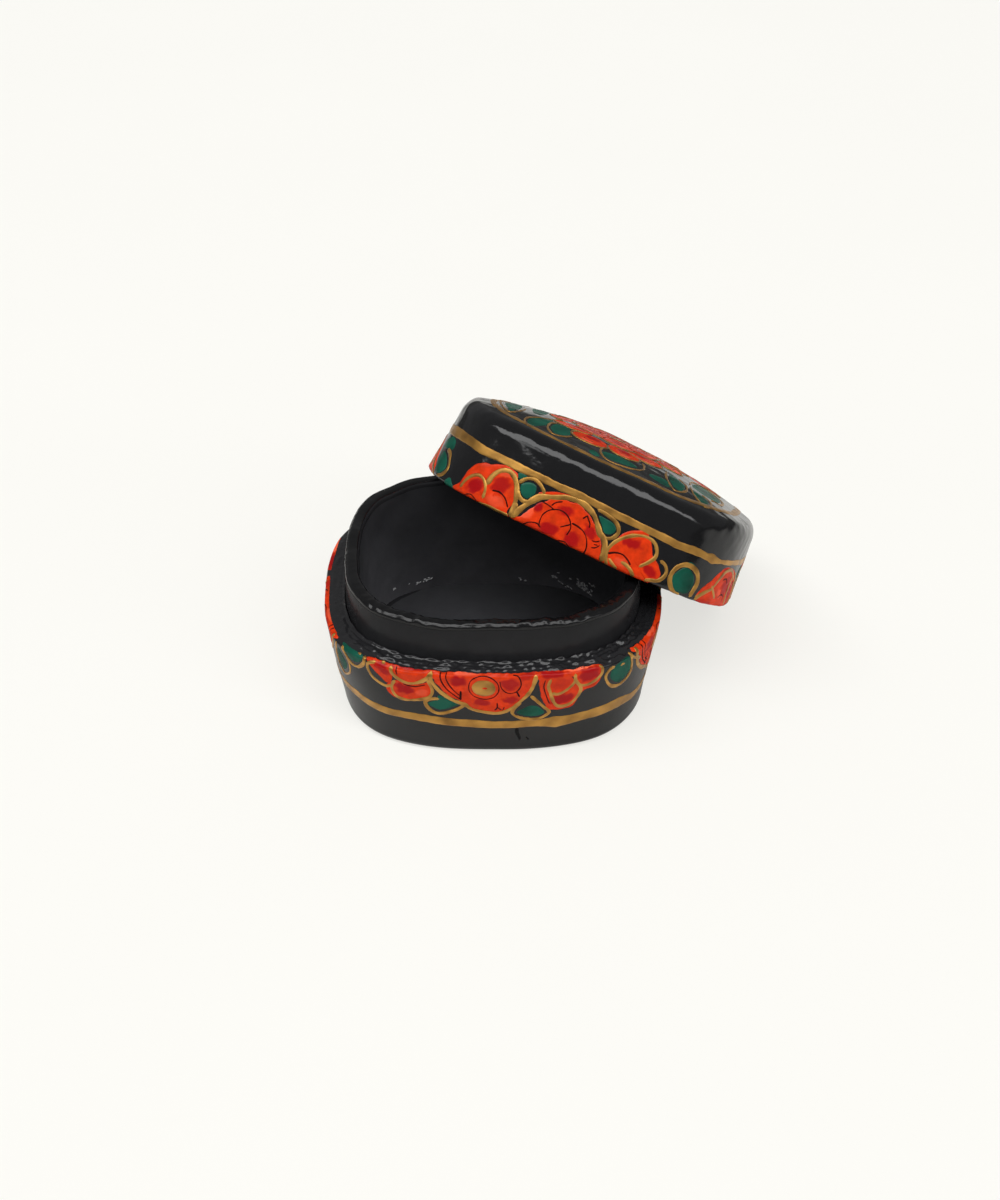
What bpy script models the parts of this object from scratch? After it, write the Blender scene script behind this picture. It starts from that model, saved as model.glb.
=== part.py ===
"""A lift-off papier-mache keepsake box, opened, with its lid leaning on it.

The box is a moulded base, a collar strip glued inside the base, and a moulded lid that fits over
the collar. All three share one plan, a square with bulging sides and very round corners, so each
piece is a turned profile that is then drawn out from a circle to that plan. The lid is shown as
it lies after it is taken off: its rim stands on the table behind the box and on the collar.

Lengths are in metres, angles in degrees, and the table is at Z = 0.
"""
import math

import bpy
import numpy as np
from mathutils import Matrix, Vector

# Plan that the base, collar and lid share
BOX_WIDTH = 0.0750
PLAN_POWER = 2.83            # 2 is a circle and 4 is nearly square
PLAN_STEPS = 96

# Base shell
BASE_HEIGHT = 0.0226
FOOT_WIDTH = 0.0684
FOOT_ROUNDING = 0.0019
FLOOR_THICKNESS = 0.0035
FLOOR_FILLET = 0.0015
LEDGE_SLOPE = 0.0003         # fall of the ledge from the collar to its outer edge
LEDGE_ROUNDING = 0.0009

# Collar strip, which stands proud of the base
COLLAR_WIDTH = 0.0653
COLLAR_WALL = 0.0030
COLLAR_PROUD = 0.0097
COLLAR_DRAFT = 0.0007        # how much narrower the strip is, each side, where it meets the floor
COLLAR_ROUNDING = 0.0011
GLUE_LINE = 0.0003

# Lid shell
LID_SIDE_HEIGHT = 0.0190
LID_TOP_WIDTH = 0.0722
LID_SHOULDER = 0.0036
LID_CROWN = 0.0045
LID_CEILING = 0.0040
LID_DRAFT = 0.0006           # how much narrower the hollow is, each side, at its ceiling
LID_FIT = 0.0005             # clearance all round between the collar and the lid's hollow
LID_RIM_ROUNDING = 0.0008
LID_INNER_FILLET = 0.0020

# How the lid lies: where its rim's middle is over the table, and which way it leans
LID_OFF_X = 0.02044
LID_OFF_Y = 0.01982
LEAN_TOWARDS = 41.9
LID_TURN = -15.6
REST_GAP = 0.0003

# Finish
LACQUER_BLACK = (0.012, 0.012, 0.013, 1.0)

ARC_STEPS = 5
CROWN_STEPS = 7

# Search for the lean at which the lid comes to rest
LEAN_SEARCH = (5.0, 70.0)
LEAN_HALVINGS = 14
HEIGHT_HALVINGS = 9
COARSE_STEP = 0.001

base_half = BOX_WIDTH / 2
foot_half = FOOT_WIDTH / 2
collar_half = COLLAR_WIDTH / 2
collar_inner_half = collar_half - COLLAR_WALL
collar_top = BASE_HEIGHT + COLLAR_PROUD
lid_top_half = LID_TOP_WIDTH / 2
lid_hollow_half = collar_half + LID_FIT
lid_hollow_depth = LID_SIDE_HEIGHT - LID_CEILING


def arc(centre, radius, start, end, steps=ARC_STEPS):
    """Points of a round edge in the profile's plane, from one angle to another."""
    angles = np.radians(np.linspace(start, end, steps + 1))
    return [(centre[0] + radius * math.cos(a), centre[1] + radius * math.sin(a)) for a in angles]


def dome(half, height, rise, steps=CROWN_STEPS):
    """Points of a shallow dome, from the axis out to its edge."""
    fractions = [i / steps for i in range(steps + 1)]
    return [(half * f, height + rise * (1 - f * f)) for f in fractions]


def plan_stretch(x, y):
    """How far the plan reaches in the direction of x, y, where a circle reaches 1."""
    reach = np.hypot(x, y)
    reach = np.where(reach < 1e-9, 1.0, reach)
    power = np.abs(x / reach) ** PLAN_POWER + np.abs(y / reach) ** PLAN_POWER
    return np.where(power > 0, np.maximum(power, 1e-9) ** (-1 / PLAN_POWER), 1.0)


def lacquer(name, colour, roughness):
    material = bpy.data.materials.new(name)
    material.use_nodes = True
    shader = material.node_tree.nodes["Principled BSDF"]
    shader.inputs["Base Color"].default_value = colour
    shader.inputs["Roughness"].default_value = roughness
    shader.inputs["Metallic"].default_value = 0.0
    material.diffuse_color = colour
    return material


def moulded(name, profile, closed, material, collection):
    """Turn a profile round the Z axis, then draw the circle out to the box's plan."""
    points = [(x, 0.0, z) for x, z in profile]
    edges = [(i, i + 1) for i in range(len(points) - 1)]
    if closed:
        edges.append((len(points) - 1, 0))
    outline = bpy.data.meshes.new(name + "_profile")
    outline.from_pydata(points, edges, [])
    turned = bpy.data.objects.new(name, outline)
    collection.objects.link(turned)
    screw = turned.modifiers.new("turn", "SCREW")
    screw.axis = "Z"
    screw.angle = math.tau
    screw.steps = PLAN_STEPS
    screw.render_steps = PLAN_STEPS
    screw.use_merge_vertices = True
    screw.merge_threshold = 1e-5
    bpy.context.view_layer.update()
    solid = bpy.data.meshes.new_from_object(turned.evaluated_get(bpy.context.evaluated_depsgraph_get()))
    turned.modifiers.clear()
    turned.data = solid
    bpy.data.meshes.remove(outline)
    for vertex in solid.vertices:
        stretch = float(plan_stretch(np.array(vertex.co.x), np.array(vertex.co.y)))
        vertex.co.x *= stretch
        vertex.co.y *= stretch
    solid.name = name
    solid.materials.clear()
    solid.materials.append(material)
    return turned


def base_profile():
    """The base shell from the middle of the floor, over the ledge and down to the foot."""
    wall_top = collar_half + GLUE_LINE
    wall_foot = wall_top - COLLAR_DRAFT
    ledge_edge = base_half - LEDGE_ROUNDING
    points = [(0.0, FLOOR_THICKNESS)]
    points += arc((wall_foot - FLOOR_FILLET, FLOOR_THICKNESS + FLOOR_FILLET), FLOOR_FILLET, -90, 0)
    points += [(wall_top, BASE_HEIGHT + LEDGE_SLOPE)]
    points += arc((ledge_edge, BASE_HEIGHT - LEDGE_ROUNDING), LEDGE_ROUNDING, 90, 0)
    points += arc((foot_half - FOOT_ROUNDING, FOOT_ROUNDING), FOOT_ROUNDING, 0, -90)
    points += [(0.0, 0.0)]
    return points


def collar_profile():
    """The collar strip's section, down its outer side and up its inner side."""
    foot = FLOOR_THICKNESS + GLUE_LINE
    foot_outer = collar_half - COLLAR_DRAFT
    chamfer = FLOOR_FILLET
    outer_edge = (collar_half - COLLAR_ROUNDING, collar_top - COLLAR_ROUNDING)
    inner_edge = (collar_inner_half + COLLAR_ROUNDING, collar_top - COLLAR_ROUNDING)
    points = arc(inner_edge, COLLAR_ROUNDING, 180, 90)
    points += arc(outer_edge, COLLAR_ROUNDING, 90, 0)
    points += [(collar_half, BASE_HEIGHT), (foot_outer, foot + chamfer)]
    points += [(foot_outer - chamfer, foot), (foot_outer - COLLAR_WALL, foot)]
    return points


def lid_profile():
    """The lid shell from the top of its crown, down its side and up into its hollow.

    The shoulder's round edge starts in the slope at which the crown meets it.
    """
    flat_half = lid_top_half - LID_SHOULDER
    fall = math.atan(2 * LID_CROWN / flat_half)
    crown = dome(flat_half + LID_SHOULDER * math.sin(fall), LID_SIDE_HEIGHT, LID_CROWN)
    points = crown[:-1]
    shoulder_middle = (flat_half, LID_SIDE_HEIGHT - LID_SHOULDER * math.cos(fall))
    points += arc(shoulder_middle, LID_SHOULDER, 90 - math.degrees(fall), 0)
    points += arc((base_half - LID_RIM_ROUNDING, LID_RIM_ROUNDING), LID_RIM_ROUNDING, 0, -90)
    points += arc((lid_hollow_half + LID_RIM_ROUNDING, LID_RIM_ROUNDING), LID_RIM_ROUNDING, -90, -180)
    ceiling_half = lid_hollow_half - LID_DRAFT - LID_INNER_FILLET
    fillet_middle = (ceiling_half, lid_hollow_depth - LID_INNER_FILLET)
    points += arc(fillet_middle, LID_INNER_FILLET, 0, 90)
    points += dome(ceiling_half, lid_hollow_depth, LID_CROWN)[-2::-1]
    return points


def plan_half(x, y):
    """Half width of the plan on which x, y lies."""
    return np.hypot(x, y) / plan_stretch(x, y)


def outside(points, profile):
    """Distance of points from the solid of this profile, and below zero inside it."""
    start = np.array(profile)
    run_x, run_z = (np.roll(start, -1, axis=0) - start).T
    half = plan_half(points[:, 0], points[:, 1])[:, None]
    height = points[:, 2][:, None]
    from_x, from_z = half - start[:, 0], height - start[:, 1]
    length = np.maximum(run_x ** 2 + run_z ** 2, 1e-15)
    along = np.clip((from_x * run_x + from_z * run_z) / length, 0, 1)
    distance = np.hypot(from_x - along * run_x, from_z - along * run_z).min(axis=1)
    spans = (from_z < 0) != (from_z - run_z < 0)
    slope = run_x / np.where(np.abs(run_z) < 1e-9, 1e-9, run_z)
    inside = (spans & (from_x < from_z * slope)).sum(axis=1) % 2 == 1
    return np.where(inside, -distance, distance)


def rings(profile):
    """Points round the plan at each of these profile points."""
    angles = np.linspace(0, math.tau, PLAN_STEPS * 2, endpoint=False)
    x, y = np.cos(angles), np.sin(angles)
    stretch = plan_stretch(x, y)
    return np.concatenate([np.stack([half * stretch * x, half * stretch * y, np.full(len(x), height)], axis=1)
                           for half, height in profile])


def between(start, end, steps=4):
    """Points along a straight side of a profile, without its ends."""
    fractions = np.arange(1, steps) / steps
    return [(start[0] + (end[0] - start[0]) * f, start[1] + (end[1] - start[1]) * f) for f in fractions]


def lid_axes(tilt):
    """The lid's turn on its own axis, then its lean over a line across LEAN_TOWARDS."""
    heading = Matrix.Rotation(math.radians(LEAN_TOWARDS), 3, "Z")
    lean = Matrix.Rotation(tilt, 3, "Y")
    turn = Matrix.Rotation(math.radians(LID_TURN - LEAN_TOWARDS), 3, "Z")
    return heading @ lean @ turn


def settle_lid():
    """Lean the lid until its rim stands on the table and on the collar at once.

    A steeper lean lowers the rim's far edge towards the table and brings the rim's near side
    down onto the collar. For each lean the lid is let down until it meets the collar, and the
    lean at which its lowest point is then REST_GAP above the table is found by halving.
    """
    base, collar, lid = base_profile(), collar_profile(), lid_profile()
    rim_and_hollow = [p for p in lid if p[1] < LID_RIM_ROUNDING * 1.01]
    rim_and_hollow += between((lid_hollow_half, LID_RIM_ROUNDING), (lid_hollow_half - LID_DRAFT, lid_hollow_depth))
    proud = [p for p in collar if p[1] > BASE_HEIGHT]
    proud += between((collar_half, BASE_HEIGHT), (collar_half, collar_top))
    proud += between((collar_inner_half, BASE_HEIGHT), (collar_inner_half, collar_top))
    ledge = [p for p in base if p[1] > BASE_HEIGHT - LEDGE_ROUNDING * 1.01]
    lid_points = rings(rim_and_hollow)
    base_points = rings(proud + ledge)

    def pose(tilt, height):
        return np.array(lid_axes(tilt)), np.array([LID_OFF_X, LID_OFF_Y, height])

    def clearance(tilt, height):
        axes, middle = pose(tilt, height)
        placed = lid_points @ axes.T + middle
        lid_to_base = min(outside(placed, base).min(), outside(placed, collar).min())
        base_to_lid = outside((base_points - middle) @ axes, lid).min()
        return min(lid_to_base, base_to_lid)

    def resting_height(tilt):
        high = collar_top + base_half * math.sin(tilt)
        while clearance(tilt, high) > REST_GAP and high > 0:
            high -= COARSE_STEP
        low, high = high, high + COARSE_STEP
        for _ in range(HEIGHT_HALVINGS):
            middle = (low + high) / 2
            if clearance(tilt, middle) > REST_GAP:
                high = middle
            else:
                low = middle
        return high

    def above_table(tilt):
        axes, middle = pose(tilt, resting_height(tilt))
        return (lid_points @ axes.T + middle)[:, 2].min() - REST_GAP

    flat, steep = (math.radians(angle) for angle in LEAN_SEARCH)
    for _ in range(LEAN_HALVINGS):
        tilt = (flat + steep) / 2
        if above_table(tilt) > 0:
            flat = tilt
        else:
            steep = tilt
    return flat, resting_height(flat)


def build():
    for old in list(bpy.data.objects):
        bpy.data.objects.remove(old, do_unlink=True)
    collection = bpy.data.collections.new("papier_mache_box")
    bpy.context.scene.collection.children.link(collection)

    black = lacquer("black_lacquer", LACQUER_BLACK, 0.32)
    black_inside = lacquer("collar_lacquer", LACQUER_BLACK, 0.38)

    moulded("base_shell", base_profile(), False, black, collection)
    moulded("collar_strip", collar_profile(), True, black_inside, collection)
    lid = moulded("lid_shell", lid_profile(), False, black, collection)
    tilt, height = settle_lid()
    lid.matrix_world = Matrix.Translation(Vector((LID_OFF_X, LID_OFF_Y, height))) @ lid_axes(tilt).to_4x4()
    print("lid leans %.2f degrees, rim middle %.2f mm up" % (math.degrees(tilt), height * 1000))


build()
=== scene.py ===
"""Looks of an opened papier-mache keepsake box: black lacquer, painted flowers and gold lines.

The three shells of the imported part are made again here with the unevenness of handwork, and the
paint lies on them as thin raised shapes. Lengths are in millimetres until a mesh is written, in
metres. A place on a side is given by s, the distance round the seam from the middle of the front,
and t, the distance from the seam down the base or up the lid. A place on the lid's top is given by
x and y in the lid's own plan.
"""
import math

import bpy
import numpy as np
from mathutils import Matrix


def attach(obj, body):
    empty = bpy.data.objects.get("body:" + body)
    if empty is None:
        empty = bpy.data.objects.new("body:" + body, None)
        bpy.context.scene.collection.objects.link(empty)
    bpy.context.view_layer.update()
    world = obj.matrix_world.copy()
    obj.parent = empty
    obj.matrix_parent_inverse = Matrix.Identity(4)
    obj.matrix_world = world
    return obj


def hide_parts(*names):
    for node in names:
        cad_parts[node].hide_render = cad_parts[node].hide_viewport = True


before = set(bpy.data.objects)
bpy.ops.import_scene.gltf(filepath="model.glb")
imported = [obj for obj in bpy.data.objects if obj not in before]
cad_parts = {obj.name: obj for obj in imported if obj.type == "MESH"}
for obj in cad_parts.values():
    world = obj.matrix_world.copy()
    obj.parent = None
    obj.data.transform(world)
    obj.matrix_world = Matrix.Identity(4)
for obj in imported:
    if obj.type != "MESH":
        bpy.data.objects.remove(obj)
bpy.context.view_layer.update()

MM = 0.001

# The plan and the profiles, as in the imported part
PLAN_POWER = 2.83
BASE_HALF, FOOT_HALF, BASE_HEIGHT = 37.5, 34.2, 22.6
FOOT_ROUNDING, LEDGE_ROUNDING, LEDGE_SLOPE = 1.9, 0.9, 0.3
FLOOR, FLOOR_FILLET, GLUE_LINE = 3.5, 1.5, 0.3
COLLAR_HALF, COLLAR_WALL, COLLAR_PROUD, COLLAR_DRAFT, COLLAR_ROUNDING = 32.65, 3.0, 9.7, 0.7, 1.1
LID_SIDE, LID_TOP_HALF, LID_CROWN, LID_CEILING = 19.0, 36.1, 4.5, 4.0
LID_HOLLOW_HALF, LID_DRAFT, LID_RIM_ROUNDING, LID_INNER_FILLET = 33.15, 0.6, 0.8, 2.0
COLLAR_TOP = BASE_HEIGHT + COLLAR_PROUD

# The shoulder is part of an ellipse, from the slope of the side to the slope of the crown's edge
SHOULDER_WIDTH, SHOULDER_HEIGHT, SHOULDER_START = 3.2, 4.4, 8.0
CROWN_EDGE_SLOPE = 2 * LID_CROWN / (LID_TOP_HALF - SHOULDER_WIDTH)
SHOULDER_END = math.degrees(math.atan(SHOULDER_HEIGHT / SHOULDER_WIDTH / CROWN_EDGE_SLOPE))
SHOULDER_MIDDLE = LID_SIDE - SHOULDER_HEIGHT * math.sin(math.radians(SHOULDER_END))
CROWN_HALF = LID_TOP_HALF - SHOULDER_WIDTH + SHOULDER_WIDTH * math.cos(math.radians(SHOULDER_END))

# How the lid lies on the base
LID_MIDDLE = np.array([20.44, 19.82, 22.81])
LEAN_TOWARDS, LEAN, LID_TURN = 41.9, 33.78, -15.6


# Camera, ground and light

def place_camera():
    """A camera half a metre away, 34.5 degrees above the table, that looks at the box's foot."""
    distance, rise, sensor = 0.500, math.radians(34.49), 36
    focal_pixels, frame_pixels, shift_pixels = 2171.5, 1200, (7.25, 63.57)
    camera = bpy.data.cameras.new("camera")
    camera.sensor_width = sensor
    camera.lens = sensor * focal_pixels / frame_pixels
    camera.shift_x, camera.shift_y = (pixels / frame_pixels for pixels in shift_pixels)
    holder = bpy.data.objects.new("camera", camera)
    holder.location = (0, -distance * math.cos(rise), distance * math.sin(rise))
    holder.rotation_euler = (math.pi / 2 - rise, 0, 0)
    bpy.context.scene.collection.objects.link(holder)
    bpy.context.scene.camera = holder


def to_linear(code):
    """The linear colour of an sRGB hex code."""
    parts = [int(code[i:i + 2], 16) / 255 for i in (1, 3, 5)]
    return tuple(p / 12.92 if p <= 0.04045 else ((p + 0.055) / 1.055) ** 2.4 for p in parts) + (1.0,)


def add(tree, kind, inputs=None, **settings):
    """One node with its settings. Each input is a value, or another node's output to link from."""
    node = tree.nodes.new(kind)
    for key, value in settings.items():
        setattr(node, key, value)
    for key, value in (inputs or {}).items():
        if isinstance(value, bpy.types.NodeSocket):
            tree.links.new(value, node.inputs[key])
        else:
            node.inputs[key].default_value = value
    return node


def calculated(tree, operation, *values, clamp=False):
    """What a Math node makes of these values or outputs."""
    return add(tree, "ShaderNodeMath", dict(enumerate(values)), operation=operation, use_clamp=clamp).outputs[0]


def stretched(tree, value, start, end, low=0.0, high=1.0, kind="LINEAR"):
    """The value's range from start to end, stretched to that from low to high."""
    ends = {"Value": value, "From Min": start, "From Max": end, "To Min": low, "To Max": high}
    return add(tree, "ShaderNodeMapRange", ends, interpolation_type=kind).outputs["Result"]


def own_place(tree):
    """The place of each point in the object's own space, in metres."""
    return add(tree, "ShaderNodeTexCoord").outputs["Object"]


def clouds(tree, size, detail, rough=0.5):
    """Noise in the object's own space. Its clouds are about this many millimetres long."""
    inputs = {"Vector": own_place(tree), "Scale": 1000 / size, "Detail": detail, "Roughness": rough}
    return add(tree, "ShaderNodeTexNoise", inputs).outputs["Fac"]


def mixed(tree, share, first, second):
    """The colour that is the first at share 0 and the second at 1. Each is a hex code or an output."""
    first, second = (to_linear(end) if isinstance(end, str) else end for end in (first, second))
    return add(tree, "ShaderNodeMix", {"Factor": share, "A": first, "B": second}, data_type="RGBA").outputs[2]


def either(tree, share, first, second):
    """The shader that is the first at share 0 and the second at 1."""
    return add(tree, "ShaderNodeMixShader", {0: share, 1: first.outputs[0], 2: second.outputs[0]})


def new_material(name):
    """An empty material and its node tree."""
    material = bpy.data.materials.new(name)
    material.use_nodes = True
    material.node_tree.nodes.clear()
    return material, material.node_tree


def surfaced(material, shader):
    """The material, with this shader as its surface."""
    add(material.node_tree, "ShaderNodeOutputMaterial", {"Surface": shader.outputs[0]})
    return material


def matt_paper_ground():
    """Matt background paper: plain and pale, with the faintest cloudiness of its pulp. The camera
    sees most of it at its own plain colour, so the shadows on it stay faint. The lacquer mirrors
    it pale round the box, and dimmer and dimmer from 0.14 to 0.36 m out, where the real sheet
    ends."""
    plain_share, dims_from, dimmest_from, dim_strength, cloud_size = 0.74, 0.14, 0.36, 0.14, 1000 / 9.0
    material, tree = new_material("matt_background_paper")
    tone = mixed(tree, clouds(tree, cloud_size, 3.0), "#f9f8f3", "#f7f6f1")
    path = add(tree, "ShaderNodeLightPath")
    seen = calculated(tree, "MULTIPLY", path.outputs["Is Camera Ray"], plain_share)
    near = either(tree, seen, add(tree, "ShaderNodeBsdfDiffuse", {"Color": tone}),
                  add(tree, "ShaderNodeEmission", {"Color": tone, "Strength": 1.0}))
    away = add(tree, "ShaderNodeVectorMath", {0: own_place(tree)}, operation="LENGTH").outputs["Value"]
    past = stretched(tree, away, dims_from, dimmest_from, kind="SMOOTHSTEP")
    mirrored = calculated(tree, "MULTIPLY", path.outputs["Is Glossy Ray"], past)
    shown = either(tree, mirrored, near, add(tree, "ShaderNodeEmission", {"Color": tone, "Strength": dim_strength}))
    return surfaced(material, shown)


def lay_ground():
    """A level sheet, so wide that its edges lie outside the photo's view."""
    half = 6.0
    corners = [(-half, -half, 0), (half, -half, 0), (half, half, 0), (-half, half, 0)]
    sheet = bpy.data.meshes.new("ground")
    sheet.from_pydata(corners, [], [(0, 1, 2, 3)])
    sheet.materials.append(matt_paper_ground())
    ground = bpy.data.objects.new("ground", sheet)
    bpy.context.scene.collection.objects.link(ground)


def hang_light(name, start, end, width, watts):
    """A soft strip lamp under the ceiling, from one end of its middle line to the other, that
    faces straight down."""
    ceiling = 6.0
    start, end = np.array(start), np.array(end)
    run = end - start
    lamp = bpy.data.lights.new(name, "AREA")
    lamp.shape = "RECTANGLE"
    lamp.size, lamp.size_y = float(np.linalg.norm(run)), width
    lamp.energy = watts
    holder = bpy.data.objects.new(name, lamp)
    holder.location = (*(start + end) / 2, ceiling)
    holder.rotation_euler = (0, 0, math.atan2(run[1], run[0]))
    bpy.context.scene.collection.objects.link(holder)


def set_light():
    """A long strip lamp under the ceiling, set at a slant, and a small panel beside its left half,
    in a pale room. Reflections show the room as bright as the ground up to the horizon, and dimmer
    over that."""
    hang_light("strip_lamp", (-6.7, 0.25), (19.0, -11.6), 2.8, 1310.0)
    hang_light("left_panel", (-5.3, -2.2), (-2.7, -4.8), 1.0, 42.0)
    world = bpy.data.worlds.new("pale_room")
    bpy.context.scene.world = world
    world.use_nodes = True
    tree = world.node_tree
    tree.nodes.clear()
    path = add(tree, "ShaderNodeLightPath")
    rise = add(tree, "ShaderNodeSeparateXYZ", {0: add(tree, "ShaderNodeTexCoord").outputs["Generated"]})
    low = stretched(tree, rise.outputs["Z"], -0.12, 0.0, 1.0, 0.0, kind="SMOOTHSTEP")
    mirrored = calculated(tree, "MAXIMUM", path.outputs["Is Glossy Ray"], path.outputs["Is Transmission Ray"])
    mirrored = calculated(tree, "MULTIPLY", mirrored, low)
    seen = calculated(tree, "MAXIMUM", path.outputs["Is Camera Ray"], mirrored)
    room = add(tree, "ShaderNodeBackground", {"Color": (1, 1, 1, 1), "Strength": 0.28})
    pale = add(tree, "ShaderNodeBackground", {"Color": to_linear("#f8f7f2"), "Strength": 1.0})
    add(tree, "ShaderNodeOutputWorld", {"Surface": either(tree, seen, room, pale).outputs[0]})


# Shapes

def plan_stretch(angle):
    """How far the plan reaches in this direction, where a circle reaches 1."""
    return (np.abs(np.cos(angle)) ** PLAN_POWER + np.abs(np.sin(angle)) ** PLAN_POWER) ** (-1 / PLAN_POWER)


seam_angles = np.linspace(-math.pi / 2, 1.5 * math.pi, 7201)
seam_reach = BASE_HALF * plan_stretch(seam_angles)
seam_steps = np.hypot(np.diff(seam_reach * np.cos(seam_angles)), np.diff(seam_reach * np.sin(seam_angles)))
seam_lengths = np.concatenate([[0], np.cumsum(seam_steps)])
ROUND = seam_lengths[-1]          # length of the seam, once round


def seam_angle(s):
    """The direction from the middle at distance s round the seam, from the front's middle."""
    return np.interp(np.mod(s, ROUND), seam_lengths, seam_angles)


def from_front(s):
    """The distance round the seam from the front's middle, negative to the left."""
    return np.mod(s + ROUND / 2, ROUND) - ROUND / 2


def ring_at(s, radius):
    """Places on a circle of this radius, in the directions of s, for waves() to work on."""
    angle = seam_angle(s)
    return np.stack([np.cos(angle), np.sin(angle)], axis=-1) * radius


def with_third(ring, third):
    """The places of a ring, with a third coordinate beside their two."""
    return np.stack(np.broadcast_arrays(ring[..., 0], ring[..., 1], third), axis=-1)


def arc(centre, radius, start, end, steps=10, height=None):
    """Points of a round edge in a profile's plane, from one angle to another. With a height it is
    part of an ellipse, radius wide and this high."""
    angles = np.radians(np.linspace(start, end, steps + 1))
    return [(centre[0] + radius * math.cos(a), centre[1] + (height or radius) * math.sin(a)) for a in angles]


def shoulder():
    """The lid's shoulder, from its side up to its crown."""
    middle = (LID_TOP_HALF - SHOULDER_WIDTH, SHOULDER_MIDDLE)
    return arc(middle, SHOULDER_WIDTH, SHOULDER_START, SHOULDER_END, 16, SHOULDER_HEIGHT)


def dome(half, height, rise, steps):
    """Points of a shallow dome, from the axis out to its edge."""
    return [(half * f, height + rise * (1 - f * f)) for f in np.linspace(0, 1, steps + 1)]


def filled_in(points, gap):
    """The profile with points added along its straight runs, so that none is longer than gap."""
    rows = [points[0]]
    for (x0, z0), (x1, z1) in zip(points[:-1], points[1:]):
        steps = max(1, math.ceil(math.hypot(x1 - x0, z1 - z0) / gap))
        rows += [(x0 + (x1 - x0) * i / steps, z0 + (z1 - z0) * i / steps) for i in range(1, steps + 1)]
    return np.array(rows)


def waves(points, length, seed, count=9):
    """A smooth field between about -1 and 1: the scaled sum of sine waves, each with its own
    direction in space, phase, and length near this one."""
    rng = np.random.default_rng(seed)
    total = np.zeros(points.shape[:-1])
    for _ in range(count):
        direction = rng.normal(size=points.shape[-1])
        direction /= np.linalg.norm(direction) * length * rng.uniform(0.7, 1.5)
        total += np.sin(math.tau * (points @ direction) + rng.uniform(0, math.tau))
    return total / math.sqrt(count)


def uneven(points, depth, length, seed):
    """The points, each moved along all three axes by up to about depth, as waves() gives."""
    moves = [waves(points, length, seed + axis) for axis in range(3)]
    return points + depth * np.stack(moves, axis=-1)


def turned(half, height, s):
    """A profile carried round the plan: in the direction of s a point's half width is drawn out
    by the plan's stretch, and its height is kept."""
    angle = seam_angle(s)
    reach = half * plan_stretch(angle)
    return np.stack([reach * np.cos(angle), reach * np.sin(angle), height + 0 * reach], axis=-1)


def soft_step(x):
    """0 below 0, 1 above 1, and a smooth rise between."""
    x = np.clip(x, 0, 1)
    return x * x * (3 - 2 * x)


def ledge_relief(half, s):
    """Height of the torn paper plies on the ledge: a fillet of glue at the collar, then ridges
    that run along the seam. Each wanders, rises and breaks off as its own waves give, and crumbs
    of pulp lie between them. They are strong in front and lower round the rest of the box."""
    ring = ring_at(s, 40)
    out = half - COLLAR_HALF
    relief = np.zeros(np.broadcast(half, s).shape)
    ridges = [(1.3, 0.42, 0.50), (2.2, 0.38, 0.42), (3.1, 0.42, 0.48), (4.0, 0.34, 0.32)]
    for number, (middle, width, height) in enumerate(ridges):
        line = middle + 0.30 * waves(ring, 13.0, 40 + number) + 0.12 * waves(ring, 4.0, 50 + number)
        rise = height * (0.75 + 0.45 * waves(ring, 6.0, 60 + number) + 0.35 * waves(ring, 2.0, 65 + number))
        relief += np.clip(rise, -0.1, 1.25 * height) * np.exp(-((out - line) / width) ** 2)
    spread = with_third(ring, 1.6 * out)
    here = from_front(s)
    right = soft_step((here - 6) / 8) - soft_step((here - 40) / 8)
    relief += (1 + 0.9 * right) * (0.07 * waves(spread, 1.8, 70) + 0.03 * waves(spread, 1.0, 71))
    relief *= 1.0 - 0.8 * soft_step((-here - 28) / 8) - 0.5 * soft_step((here - 36) / 10)
    fillet = (0.68 + 0.20 * waves(ring, 3.0, 75)) * soft_step(1 - out / 0.95)
    relief += fillet - 0.12 * soft_step((out - 2.6) / 2.0)
    return relief * soft_step((BASE_HALF - half) / 0.9)


def base_point(half, height, s):
    """A point of the base shell: the turned profile, the ledge's torn plies, and unevenness."""
    points = turned(half, height, s)
    on_ledge = soft_step((height - BASE_HEIGHT + LEDGE_ROUNDING) / LEDGE_ROUNDING)
    points[..., 2] += on_ledge * ledge_relief(np.maximum(half, COLLAR_HALF), s)
    return settled(points)


def settled(points):
    """Points of the base made uneven, less and less towards the foot, so that it stands flat."""
    moved = uneven(points, 0.09, 15.0, 11)
    moved[..., 2] = points[..., 2] + (moved[..., 2] - points[..., 2]) * soft_step(points[..., 2] / 4.0)
    return moved


def floor_point(x, y):
    """A point just over the inside of the base's floor."""
    return settled(np.stack([x, y, FLOOR + 0 * x], axis=-1))


def collar_point(half, height, s):
    """A point of the collar strip. Its rim dips and wanders a little, its top is lumpy where the
    plies end, and its faces are slightly wavy."""
    points = turned(half, height, s)
    angle = seam_angle(s)
    ring = ring_at(s, 34)
    near_rim = soft_step((height - COLLAR_TOP + 4.0) / 3.5)
    points[..., 2] -= near_rim * (0.16 + 0.13 * waves(ring, 12.0, 81))
    sway = near_rim * 0.10 * waves(ring, 8.0, 83)
    points[..., 0] += sway * np.cos(angle)
    points[..., 1] += sway * np.sin(angle)
    away = np.abs(from_front(s))
    lumpy = soft_step((height - COLLAR_TOP + 1.3) / 1.0) * (1 - 0.85 * soft_step((away - 32) / 12))
    spread = with_third(ring, half)
    points[..., 2] += lumpy * (0.11 * waves(spread, 3.2, 85) + 0.075 * waves(spread, 1.6, 86))
    return uneven(uneven(points, 0.07, 12.0, 21), 0.014, 2.5, 25)


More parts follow.
